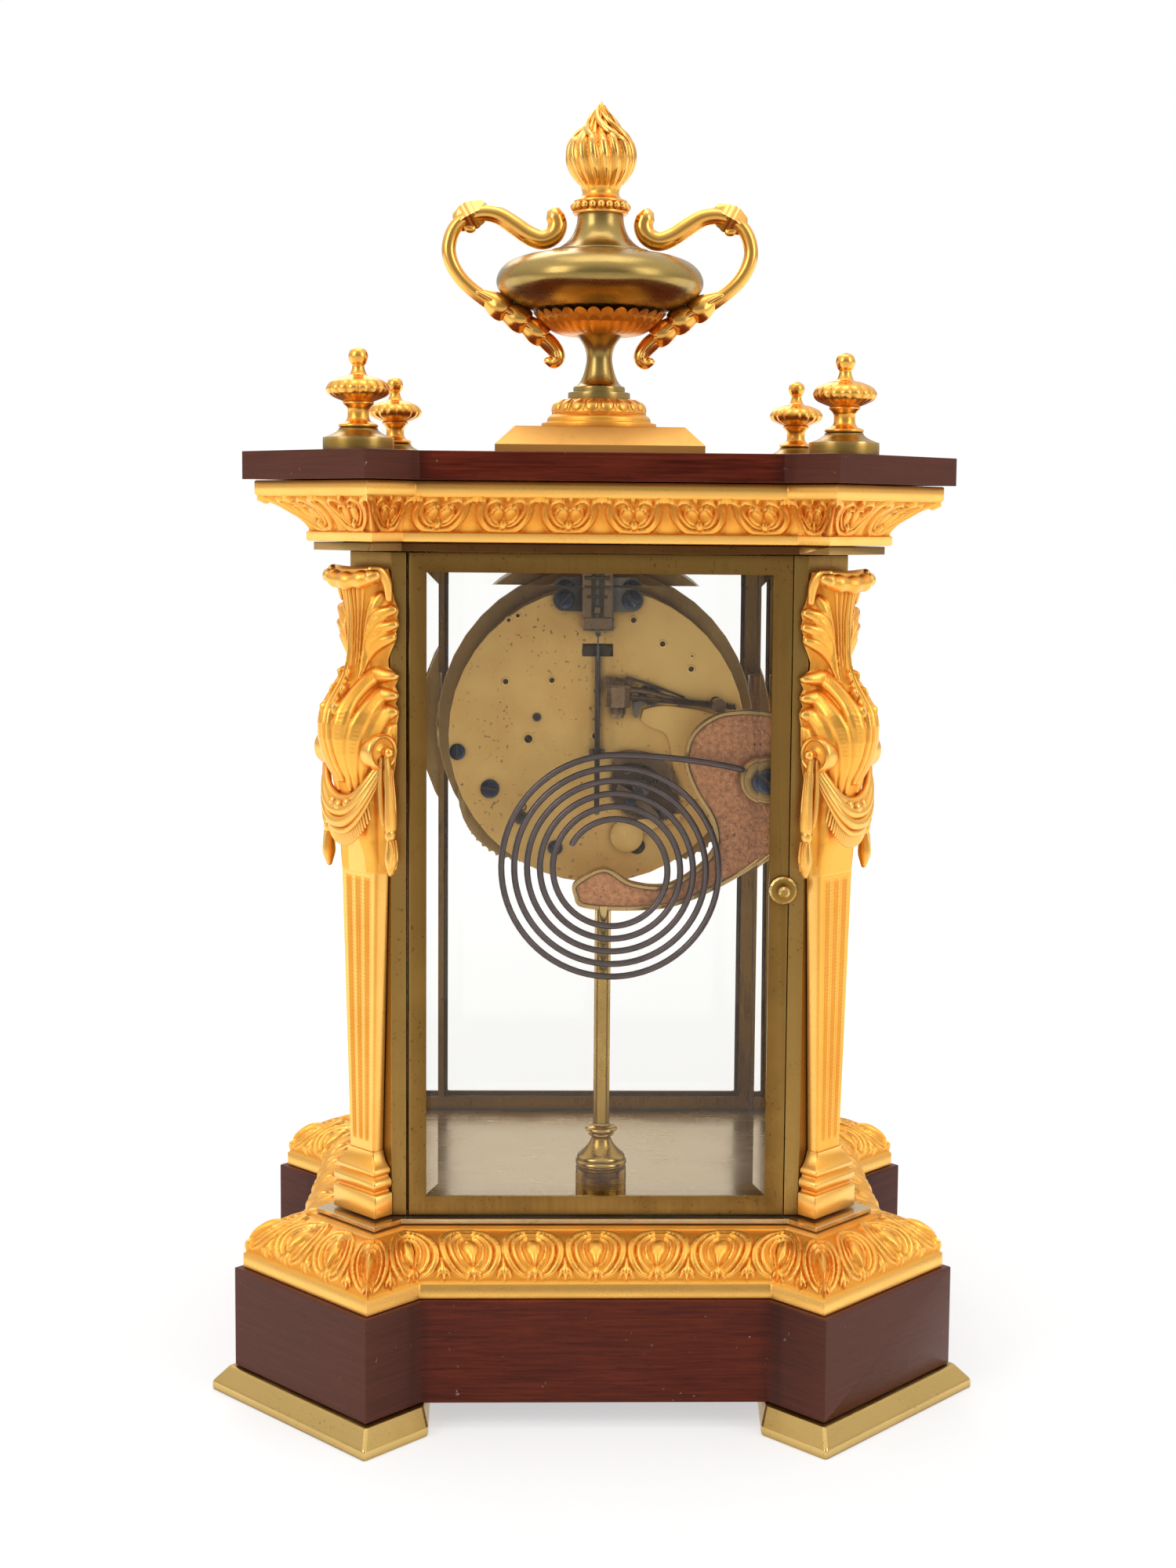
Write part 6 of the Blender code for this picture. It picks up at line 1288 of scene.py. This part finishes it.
def make_gong():
    """The coiled gong rod, its copper-faced casting, boss, screw and post."""
    boss_low, boss_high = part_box("gong_boss")
    boss_x, boss_z = (boss_low.x + boss_high.x) / 2, (boss_low.z + boss_high.z) / 2
    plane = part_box("gong_coil")
    plane_y = (plane[0].y + plane[1].y) / 2
    rod = 1.09 * MM
    reach, drop = 51.1 * MM, 42.9 * MM
    radius, pitch, coils = 39.4, 4.4, 5.16
    centre_x, centre_z = boss_x + reach, DIAL_Z - drop
    start = (boss_x + 8.0 * MM * math.cos(math.pi / 6) + rod / 3 + SEAT, boss_z + 4.0 * MM)
    top = (centre_x, centre_z + radius * MM)
    points = []
    for share in np.linspace(0, 1, 24, endpoint=False):
        ease = 1 - (1 - share) ** 2
        points.append((
            start[0] + (top[0] - start[0]) * share, plane_y, start[1] + (top[1] - start[1]) * ease))
    for turns in np.linspace(0, coils, 380):
        wound = (radius - pitch * turns) * MM
        angle = math.pi / 2 - 2 * math.pi * turns
        points.append((centre_x + wound * math.cos(angle), plane_y, centre_z + wound * math.sin(angle)))
    coil = Shape()
    coil.strand(points, [rod] * len(points), 1.0, (0, 1, 0), 14, 1)
    coil.piece("coiled_gong", GONG_STEEL, "steel", ["gong_coil"])

    low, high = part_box("gong_casting")
    shares = [
        (-0.055, 0.90), (0.204, 1.115), (0.559, 1.31), (0.873, 1.356), (1.196, 1.335), (1.263, 1.24),
        (1.256, 1.13), (1.061, 1.01), (0.873, 1.125), (0.64, 1.145), (0.439, 1.01), (0.329, 0.86),
        (0.313, 0.745), (0.347, 0.60), (0.432, 0.44), (0.487, 0.31), (0.521, 0.19), (0.523, 0.075),
        (0.493, -0.05), (0.421, -0.155), (0.31, -0.235), (0.188, -0.265), (0.044, -0.265),
        (-0.111, -0.21), (-0.244, -0.08), (-0.332, 0.10), (-0.354, 0.32), (-0.31, 0.54), (-0.222, 0.72),
    ]
    ring = [(boss_x + reach * x, DIAL_Z - drop * z) for x, z in shares]
    outline = smooth_route(ring + ring[:3], 6)[6:6 + 6 * len(ring)]
    ahead = np.roll(outline, -1, 0) - np.roll(outline, 1, 0)
    inward = unit(np.column_stack([-ahead[:, 1], ahead[:, 0]]))
    after = np.roll(ahead, -1, 0)
    if (ahead[:, 0] * after[:, 1] - ahead[:, 1] * after[:, 0]).sum() < 0:
        inward = -inward
    casting = Shape()
    rim = 1.5 * MM
    front = high.y
    levels = [
        (0.0, low.y), (0.0, front - 0.4 * MM), (0.25 * MM, front), (rim - 0.3 * MM, front),
        (rim, front - 0.25 * MM), (rim + 0.15 * MM, front - 0.8 * MM),
    ]
    casting.tube([at_depth(outline + inward * inset, depth) for inset, depth in levels])
    casting.piece("gong_casting_rim", MOVEMENT_BRASS, "plate_brass", ["gong_casting"], sharp=30)
    face = Shape()
    line = outline + inward * (rim + 0.05 * MM)
    face.tube([at_depth(line, front - depth * MM) for depth in (1.6, 0.72)])
    face.piece("gong_casting_face", COPPER, "copper", ["gong_casting"], sharp=30)

    boss = Shape()
    place = (boss_x, boss_z)
    boss.disc(place, 8.0 * MM, boss_low.y, boss_high.y - 1.2 * MM, 64, bevel=0.2)
    boss.disc(place, 6.6 * MM, boss_high.y - 1.3 * MM, boss_high.y, 64, bevel=0.2)
    boss.piece("turned_gong_boss", MOVEMENT_BRASS, "plate_brass", ["gong_boss"])

    post_low, post_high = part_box("gong_post")
    centre = ((post_low.x + post_high.x) / 2, (post_low.y + post_high.y) / 2)
    base, top = post_low.z / MM, post_high.z / MM
    rings = [
        (8.6, 0.0), (8.8, 0.3), (8.8, 7.6), (8.5, 8.0), (7.8, 8.3), (7.7, 8.9), (8.6, 9.4), (8.9, 10.2),
        (8.7, 11.0), (8.2, 11.5), (8.3, 12.1), (7.9, 12.9), (6.2, 14.4), (4.6, 16.2), (3.5, 18.2),
        (3.4, 19.2), (4.3, 19.8), (4.4, 20.4), (4.3, 20.8), (5.3, 21.4), (5.7, 22.1), (5.2, 22.8),
        (3.6, 23.3), (2.9, 23.9), (2.8, 25.0), (2.8, top - base - 3.6), (2.6, top - base - 3.4),
    ]
    post = Shape()
    post.lathe(rings, base, centre, 64, 3)
    post.piece("turned_gong_post", FOOT_BRASS, "brass", ["gong_post"])


def screw(shape, slot, x, z, radius, back, height, turn):
    """A slotted screw head whose axis runs along Y."""
    shape.disc((x, z), radius, back, back + height, 32, dome=0.12 * MM, bevel=0.35)
    along = np.array([math.cos(turn), math.sin(turn)])
    across = np.array([-along[1], along[0]])
    corners = [
        along * a * radius * 0.94 + across * b * radius * 0.1 + (x, z)
        for a, b in SQUARE
    ]
    # painted shade: a dark bar stands for the shade in the screw's slot
    slot.slab(corners, back + height * 0.5, back + height + 0.16 * MM)


def toothed(centre, tip, root, teeth):
    """The outline of a toothed wheel, as x and z points."""
    outline = []
    for number in range(teeth):
        for share, radius in ((0.05, root), (0.35, tip), (0.5, tip), (0.8, root)):
            turn = 2 * math.pi * (number + share) / teeth
            outline.append((centre[0] + radius * math.cos(turn), centre[1] + radius * math.sin(turn)))
    return outline


def make_movement_details():
    """Pivots with the painted shade of their holes, blued screws, ratchet, rack, levers and click on the
    rear plate.
    """
    face = PLATE_Y
    # dark gathers thin near-black discs, sheets and bars, most of them painted shade in holes, slots and
    # gaps
    steel, blue, dark, brass, bronze = Shape(), Shape(), Shape(), Shape(), Shape()

    def from_photo(across, up):
        return -across * MM, up * MM

    for across, up, size in (
        (-32.4, 240.7, 1.0), (-16.1, 241.3, 1.0), (-24.3, 220.4, 1.5), (12.6, 262.7, 1.0),
        (22.9, 254.4, 1.0), (33.1, 245.6, 1.0), (-0.4, 221.6, 1.3), (-31.4, 262.4, 0.7),
        (-28.2, 264.0, 0.7), (33.4, 250.2, 0.4),
    ):
        x, z = from_photo(across, up)
        brass.disc((x, z), (size + 0.75) * MM, face - 0.2 * MM, face + 0.12 * MM, 28, bevel=0.5)
        # painted shade: a thin dark disc stands for the shade in each pivot hole
        dark.disc((x, z), size * MM, face - 0.2 * MM, face + 0.16 * MM, 20, bevel=0.3)
    for across, up, size, turn in (
        (-49.4, 215.7, 2.9, 1.5), (-37.8, 202.6, 3.3, 0.2), (-14.6, 181.6, 2.6, 0.9),
    ):
        x, z = from_photo(across, up)
        screw(blue, dark, x, z, size * MM, face, 1.0 * MM, turn)
    x, z = from_photo(-21.3, 228.2)
    steel.disc((x, z), 1.5 * MM, face, face + 0.5 * MM, 24)
    x, z = from_photo(-26.9, 192.4)
    screw(steel, dark, x, z, 2.5 * MM, face, 1.0 * MM, 0.9)
    bracket_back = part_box("suspension_bracket")[0].y + 2.0 * MM
    for side, turn in ((-1, 0.6), (1, 2.3)):
        screw(blue, dark, side * 11.6 * MM, 270.0 * MM, 3.2 * MM, bracket_back, 0.9 * MM, turn)

    def spot(x, y):
        """The place on the plate of a point in the close view that the work was drawn from."""
        return (480.6 - x) / 7.18 * MM, (240.7 - (y - 336) / 7.24) * MM

    def cut(into, corners, back, front, soft=0.15, steps=1):
        outline = [spot(x, y) for x, y in corners]
        if steps > 1:
            outline = smooth_route(outline + outline[:1], steps)[:-1]
        into.slab(outline, face + back * MM, face + front * MM, bevel=soft * MM)

    def rod(into, stops, sizes, depths):
        route = [
            (spot(x, y)[0], face + depth * MM, spot(x, y)[1]) for (x, y), depth in zip(stops, depths)
        ]
        into.strand(route, [size * MM for size in sizes], 0.8, (0, 1, 0), 10, 5)

    slot = [(441 + 7 - 7 * math.cos(a), 256 - 13 * math.sin(a)) for a in np.linspace(-1.4, 1.4, 9)]
    slot += [(515 - 7 + 7 * math.cos(a), 256 - 13 * math.sin(a)) for a in np.linspace(1.4, -1.4, 9)]
    # painted shade: a thin dark sheet stands for the slot through the plate
    cut(dark, slot, -0.1, 0.1, 0.0)
    bracket_front = (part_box("suspension_bracket")[1].y - face) / MM
    # the dark strips beside the middle steel bar are painted shade in the gaps between the bracket's parts
    for left, right, top, bottom, lift, into in (
        (440, 463, 72, 168, 0.7, bronze), (494, 515, 72, 168, 0.7, bronze),
        (464, 472, 66, 200, 0.9, dark), (484, 493, 66, 200, 0.9, dark), (473, 483, 66, 206, 0.5, steel),
        (441, 514, 168, 196, 1.1, bronze), (446, 509, 84, 92, 1.3, dark), (452, 503, 112, 118, 1.2, dark),
        (470, 486, 140, 156, 1.8, bronze),
    ):
        cut(into, [(left, top), (right, top), (right, bottom), (left, bottom)], bracket_front - 0.3,
            bracket_front + lift)
    cut(bronze, [
        (500, 322), (562, 326), (566, 344), (548, 352), (548, 372), (504, 372), (496, 350),
    ], 0, 3.0)
    cut(bronze, [(518, 346), (560, 346), (560, 398), (540, 398), (540, 384), (518, 384)], 2.6, 5.4)
    cut(bronze, [(508, 386), (546, 386), (548, 410), (540, 424), (518, 424), (510, 410)], 0, 4.2)
    cut(bronze, [(500, 356), (520, 356), (520, 366), (500, 366)], 3.0, 6.2)
    cut(bronze, [(526, 330), (548, 330), (548, 340), (526, 340)], 3.0, 4.6)
    cut(steel, [(566, 360), (584, 360), (584, 378), (566, 378)], 1.6, 5.2)
    cut(steel, [(570, 384), (600, 380), (604, 388), (586, 398), (582, 424), (574, 424)], 0.6, 2.4)
    steel.slab(toothed(spot(616, 370), 3.7 * MM, 3.0 * MM, 18), face + 0.8 * MM, face + 1.8 * MM)
    brass.disc(spot(616, 372), 1.7 * MM, face, face + 3.0 * MM, 24, bevel=0.15)
    dark.disc(spot(600, 352), 1.2 * MM, face, face + 1.4 * MM, 20)
    rod(bronze, [(556, 352), (600, 356), (660, 370), (740, 388), (812, 412)], [1.2, 1.1, 0.8, 0.6, 0.6],
        [4.4, 4.4, 4.2, 4.0, 3.8])
    rod(steel, [(584, 366), (620, 378), (680, 382), (800, 404)], [0.9, 0.8, 0.5, 0.45],
        [3.4, 3.0, 2.6, 2.4])
    rod(steel, [(556, 322), (620, 342), (700, 372)], [0.5, 0.4, 0.35], [2.0, 1.6, 1.2])
    rack = []
    for number in range(17):
        share = number / 17
        for nudge, lift in ((0.0, 0.0), (0.25, 6.0), (0.4, 6.0), (0.6, 0.0)):
            along = share + nudge / 17
            rack.append(spot(684 + 150 * along, 384 + 14 * (along - 0.15) ** 2 - lift))
    rack += [spot(834 - 150 * share, 394 + 14 * (0.85 - share) ** 2) for share in np.linspace(0, 1, 12)]
    steel.slab(rack, face + 0.8 * MM, face + 1.7 * MM)
    cut(brass, [
        (596, 404), (640, 394), (700, 398), (760, 410), (800, 440), (800, 600), (700, 640), (684, 600),
        (672, 540), (664, 490), (648, 462), (618, 450), (592, 432),
    ], 0, 1.0, 0.3, 5)

    bronze.slab(toothed(spot(594, 606), 11.4 * MM, 10.4 * MM, 52), face + 0.3 * MM, face + 1.2 * MM)
    bronze.slab(toothed(spot(558, 560), 5.8 * MM, 5.0 * MM, 30), face + 1.4 * MM, face + 2.2 * MM)
    bronze.slab(toothed(spot(640, 640), 7.4 * MM, 6.5 * MM, 34), face + 1.6 * MM, face + 2.4 * MM)
    steel.disc(spot(594, 606), 3.2 * MM, face, face + 3.0 * MM, 28)
    steel.disc(spot(558, 560), 1.6 * MM, face, face + 3.2 * MM, 20)
    cut(bronze, [
        (524, 514), (566, 508), (630, 520), (672, 560), (690, 610), (676, 616), (648, 580), (610, 548),
        (562, 540), (526, 546),
    ], 2.4, 3.4, 0.2, 4)
    cut(bronze, [
        (534, 594), (556, 604), (600, 634), (640, 676), (626, 690), (586, 652), (552, 632), (530, 620),
    ], 3.0, 4.0, 0.2, 4)
    screw(blue, dark, *spot(568, 636), 1.9 * MM, face + 3.6 * MM, 0.9 * MM, 0.5)
    screw(blue, dark, *spot(650, 672), 1.7 * MM, face + 2.4 * MM, 0.9 * MM, 2.2)
    brass.disc(spot(558, 730), 5.9 * MM, face, face + 2.6 * MM, 48, bevel=0.15)
    # painted shade: a thin dark disc beside the brass disc
    dark.disc(spot(584, 758), 3.0 * MM, face - 0.1 * MM, face + 0.3 * MM, 28, bevel=0.3)
    cut(brass, [
        (570, 690), (620, 684), (690, 672), (694, 690), (640, 706), (600, 724), (580, 716),
    ], 0, 1.8, 0.2, 4)

    screw_low, screw_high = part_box("gong_screw")
    x, z = (screw_low.x + screw_high.x) / 2, (screw_low.z + screw_high.z) / 2
    head = Shape()
    screw(head, dark, x, z, 4.3 * MM, screw_high.y - 2.6 * MM, 2.4 * MM, 0.7)
    head.piece("gong_screw_head", BLUED, "blued", ["gong_screw"])
    steel.piece("plate_steelwork", DARK_STEEL, "steel")
    blue.piece("plate_screws", BLUED, "blued")
    dark.piece("plate_hole_slot_and_gap_shade", HOLE_SHADE_DARK, "steel")
    brass.piece("plate_brasswork", PLATE_BRASS, "plate_brass")
    bronze.piece("plate_leverwork", BRONZE, "plate_brass")


def make_dial_details():
    """Roman numerals and a minute track on the dial."""
    low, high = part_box("dial")
    face = low.y
    radius = (high.x - low.x) / 2
    ink = Shape()
    skin = 0.05 * MM

    def bar(turn, middle, across, length, width, lean=0.0):
        """One stroke of a numeral, set on the spoke at turn."""
        outward = np.array([math.sin(turn), math.cos(turn)])
        sideways = np.array([math.cos(turn), -math.sin(turn)])
        up = outward * math.cos(lean) + sideways * math.sin(lean)
        right = sideways * math.cos(lean) - outward * math.sin(lean)
        start = outward * middle + sideways * across
        corners = [start + up * a * length / 2 + right * b * width / 2 for a, b in SQUARE]
        ink.slab([(x, DIAL_Z + z) for x, z in corners], face + skin, face - skin)

    numerals = ("XII", "I", "II", "III", "IIII", "V", "VI", "VII", "VIII", "IX", "X", "XI")
    spot = radius * 0.77
    tall = radius * 0.19
    for hour, word in enumerate(numerals):
        turn = 2 * math.pi * hour / 12
        widths = [{"I": 2.3, "V": 5.4, "X": 5.4}[letter] * MM for letter in word]
        place = -sum(widths) / 2
        for letter, width in zip(word, widths):
            middle = place + width / 2
            if letter == "I":
                bar(turn, spot, middle, tall, 1.1 * MM)
            else:
                lean = math.atan2(width * 0.55, tall)
                if letter == "X":
                    bar(turn, spot, middle, tall * 1.04, 1.2 * MM, lean)
                    bar(turn, spot, middle, tall * 1.04, 0.45 * MM, -lean)
                else:
                    lean *= 0.55
                    bar(turn, spot, middle - width * 0.17, tall * 1.02, 1.2 * MM, -lean)
                    bar(turn, spot, middle + width * 0.17, tall * 1.02, 0.45 * MM, lean)
            place += width
        half = sum(widths) / 2
        for edge in (-1, 1):
            bar(turn, spot + edge * tall / 2, 0.0, 0.3 * MM, half * 2 + 0.6 * MM)
    for minute in range(60):
        size = (3.2, 0.7) if minute % 5 == 0 else (2.4, 0.25)
        bar(2 * math.pi * minute / 60, radius * 0.935, 0.0, size[0] * MM, size[1] * MM)
    half = 0.1 * MM
    for middle in (0.905, 0.965):
        track = ((-half, skin), (-half, -skin), (half, -skin), (half, skin))
        rows = [hoop((0.0, DIAL_Z), middle * radius + off, face + depth, 180) for off, depth in track]
        ink.grid(np.array(rows), wrap_cols=True, wrap_rows=True)
    ink.piece("dial_numerals", INK, "blued", sharp=30)


# The frame's own pieces that keep their shape

def dress_frame():
    """Give each kept node its finish and soft edges."""
    finishes = [
        (MAHOGANY, 0.5, ["base_plinth", "top_slab"]),
        (FOOT_BRASS, 0.9, ["foot_" + corner for corner in CORNERS]),
        (CASE_BRASS, 0.3, ["corner_post_" + corner for corner in CORNERS]),
        (CASE_BRASS, 0.22, [
            "rear_door_frame", "front_door_frame", "left_side_frame", "right_side_frame"]),
        (FLOOR_BRASS, 0.25, ["lower_plate"]),
        (DARK_BRASS, 0.25, ["top_plate"]),
        (GLASS, 0.0, ["rear_door_glass", "front_door_glass", "left_side_glass", "right_side_glass"]),
        (FOOT_BRASS, 0.15, ["rear_door_knob", "front_door_knob"]),
        (PLATE_BRASS, 0.15, ["rear_movement_plate"]),
        (MOVEMENT_BRASS, 0.15, [
            "front_movement_plate", "dial_bezel", "going_barrel", "strike_barrel", "centre_wheel",
            "escape_wheel"]),
        (BRONZE, 0.15, ["strike_hammer"]),
        (CASE_BRASS, 0.2, ["movement_strap_left", "movement_strap_right"]),
        (DARK_STEEL, 0.12, ["pallets_and_crutch", "pendulum_leader", "suspension_bracket"]),
        (BLUED, 0.08, ["hour_hand", "minute_hand"]),
        (ENAMEL, 0.15, ["dial"]),
    ]
    for finish, soft, names in finishes:
        for name in names:
            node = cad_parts[name]
            node.data.materials.clear()
            node.data.materials.append(finish)
            if soft:
                weld = node.modifiers.new("joined_edges", "WELD")
                weld.merge_threshold = 0.01 * MM
                bevel = node.modifiers.new("soft_edges", "BEVEL")
                bevel.width = soft * MM
                bevel.segments = 2
                bevel.limit_method = "ANGLE"
                bevel.angle_limit = math.radians(30)
                bevel.use_clamp_overlap = True
                bevel.harden_normals = True


# Stage

def make_floor():
    """A pale floor that shows white where it is seen straight or through the glass."""
    floor = bpy.data.meshes.new("floor")
    reach = 9.0
    floor.from_pydata([(x * reach, y * reach, 0) for x, y in SQUARE], [], [(0, 1, 2, 3)])
    ground = linked("floor", floor)
    ground.location.z = -0.05 * MM
    material, w, shader = blank("studio_floor")
    path = w.node("LightPath").outputs
    seen = w.math("MAXIMUM", path["Is Camera Ray"], path["Is Transmission Ray"])
    seen = w.math("MAXIMUM", seen, path["Is Glossy Ray"])
    place = w.node("TexCoord").outputs["Object"]
    away = w.node("VectorMath", {0: place}, operation="LENGTH").outputs["Value"]
    fill = w.span(away, 0.3, 1.6, 0.55, 0.92)
    toward = w.node("SeparateXYZ", {0: place}).outputs[1]
    dusk = w.span(toward, 0.2, 0.6, 1.0, 0.15)
    mirrored = w.math("GREATER_THAN", path["Glossy Depth"], 0.5)
    fill = w.mix(mirrored, fill, w.times(fill, dusk))
    bounced = w.math("ADD", path["Glossy Depth"], path["Diffuse Depth"])
    clear = w.math("GREATER_THAN", w.math("SUBTRACT", path["Transmission Depth"], bounced), 0.5)
    fill = w.mix(clear, fill, w.times(fill, 0.78))
    w.fill(shader, {
        "Base Color": (0.62, 0.62, 0.62, 1), "Roughness": 0.9, "Specular IOR Level": 0.1,
        "Emission Color": (1, 1, 1, 1), "Emission Strength": w.times(seen, fill),
    })
    floor.materials.append(material)


def make_world():
    """A white world to the eye, and a plain grey one to mirrors and matt faces."""
    world = bpy.data.worlds.new("studio")
    bpy.context.scene.world = world
    world.use_nodes = True
    w = Wiring(world.node_tree)
    back = world.node_tree.nodes["Background"]
    path = w.node("LightPath").outputs
    bounced = w.math("ADD", path["Glossy Depth"], path["Diffuse Depth"])
    direct = w.math("LESS_THAN", bounced, 0.5)
    mirrored = w.math("GREATER_THAN", path["Glossy Depth"], 0.5)
    up = w.node("SeparateXYZ", {0: w.node("TexCoord").outputs["Generated"]})
    sky = w.span(up.outputs[2], -0.1, 0.75, 0.5)
    behind = w.span(up.outputs[1], 0.35, 0.92, 1.0, 0.46)
    sheen = w.times(sky, behind)
    glossy = w.mix(mirrored, (0.46, 0.46, 0.46, 1), sheen)
    w.feed(back.inputs["Color"], w.mix(direct, glossy, (1, 1, 1, 1)))


def make_lights():
    """Four plain softboxes aimed at the clock's middle."""
    def softbox(name, place, size, power):
        light = bpy.data.lights.new(name, "AREA")
        light.shape = "RECTANGLE"
        light.size, light.size_y = size
        light.energy = power
        lamp = linked(name, light)
        lamp.location = place
        aim = Vector((0, 0, 0.25)) - Vector(place)
        lamp.rotation_mode = "QUATERNION"
        lamp.rotation_quaternion = aim.to_track_quat("-Z", "Y")

    softbox("key_left", (0.95, 0.85, 0.85), (0.55, 0.9), 4.6)
    softbox("key_right", (-1.0, 0.75, 0.75), (0.5, 0.9), 3.4)
    softbox("overhead", (0.0, 0.1, 1.35), (0.9, 0.6), 2.6)
    softbox("dial_side", (0.3, -1.1, 1.3), (0.8, 0.8), 4.6)


def make_camera():
    """The camera as fitted to the photograph, with its small roll."""
    lens = bpy.data.cameras.new("camera")
    lens.sensor_fit = "VERTICAL"
    lens.sensor_height = 36
    lens.sensor_width = 36
    lens.lens = 48.65
    lens.shift_x = -0.0245
    lens.shift_y = -0.0440
    lens.clip_start = 0.01
    lens.clip_end = 60
    camera = linked("camera", lens)
    forward = Vector((-0.02878, -0.99532, -0.09229)).normalized()
    right = forward.cross(Vector((0, 0, 1))).normalized()
    above = right.cross(forward)
    roll = 0.00942
    level = right * math.cos(roll) + above * math.sin(roll)
    upright = -right * math.sin(roll) + above * math.cos(roll)
    turned = Matrix((level, upright, -forward)).transposed().to_4x4()
    turned.translation = Vector((0.01124, 0.76344, 0.29837))
    camera.matrix_world = turned
    bpy.context.scene.camera = camera
    bpy.context.scene.view_settings.view_transform = "Standard"


dress_frame()
make_mouldings()
make_consoles()
make_urn_plate()
make_urn_foot()
make_urn_bowl()
make_urn_neck()
make_flame()
make_handles()
make_finials()
make_gong()
make_movement_details()
make_dial_details()
make_floor()
make_world()
make_lights()
make_camera()
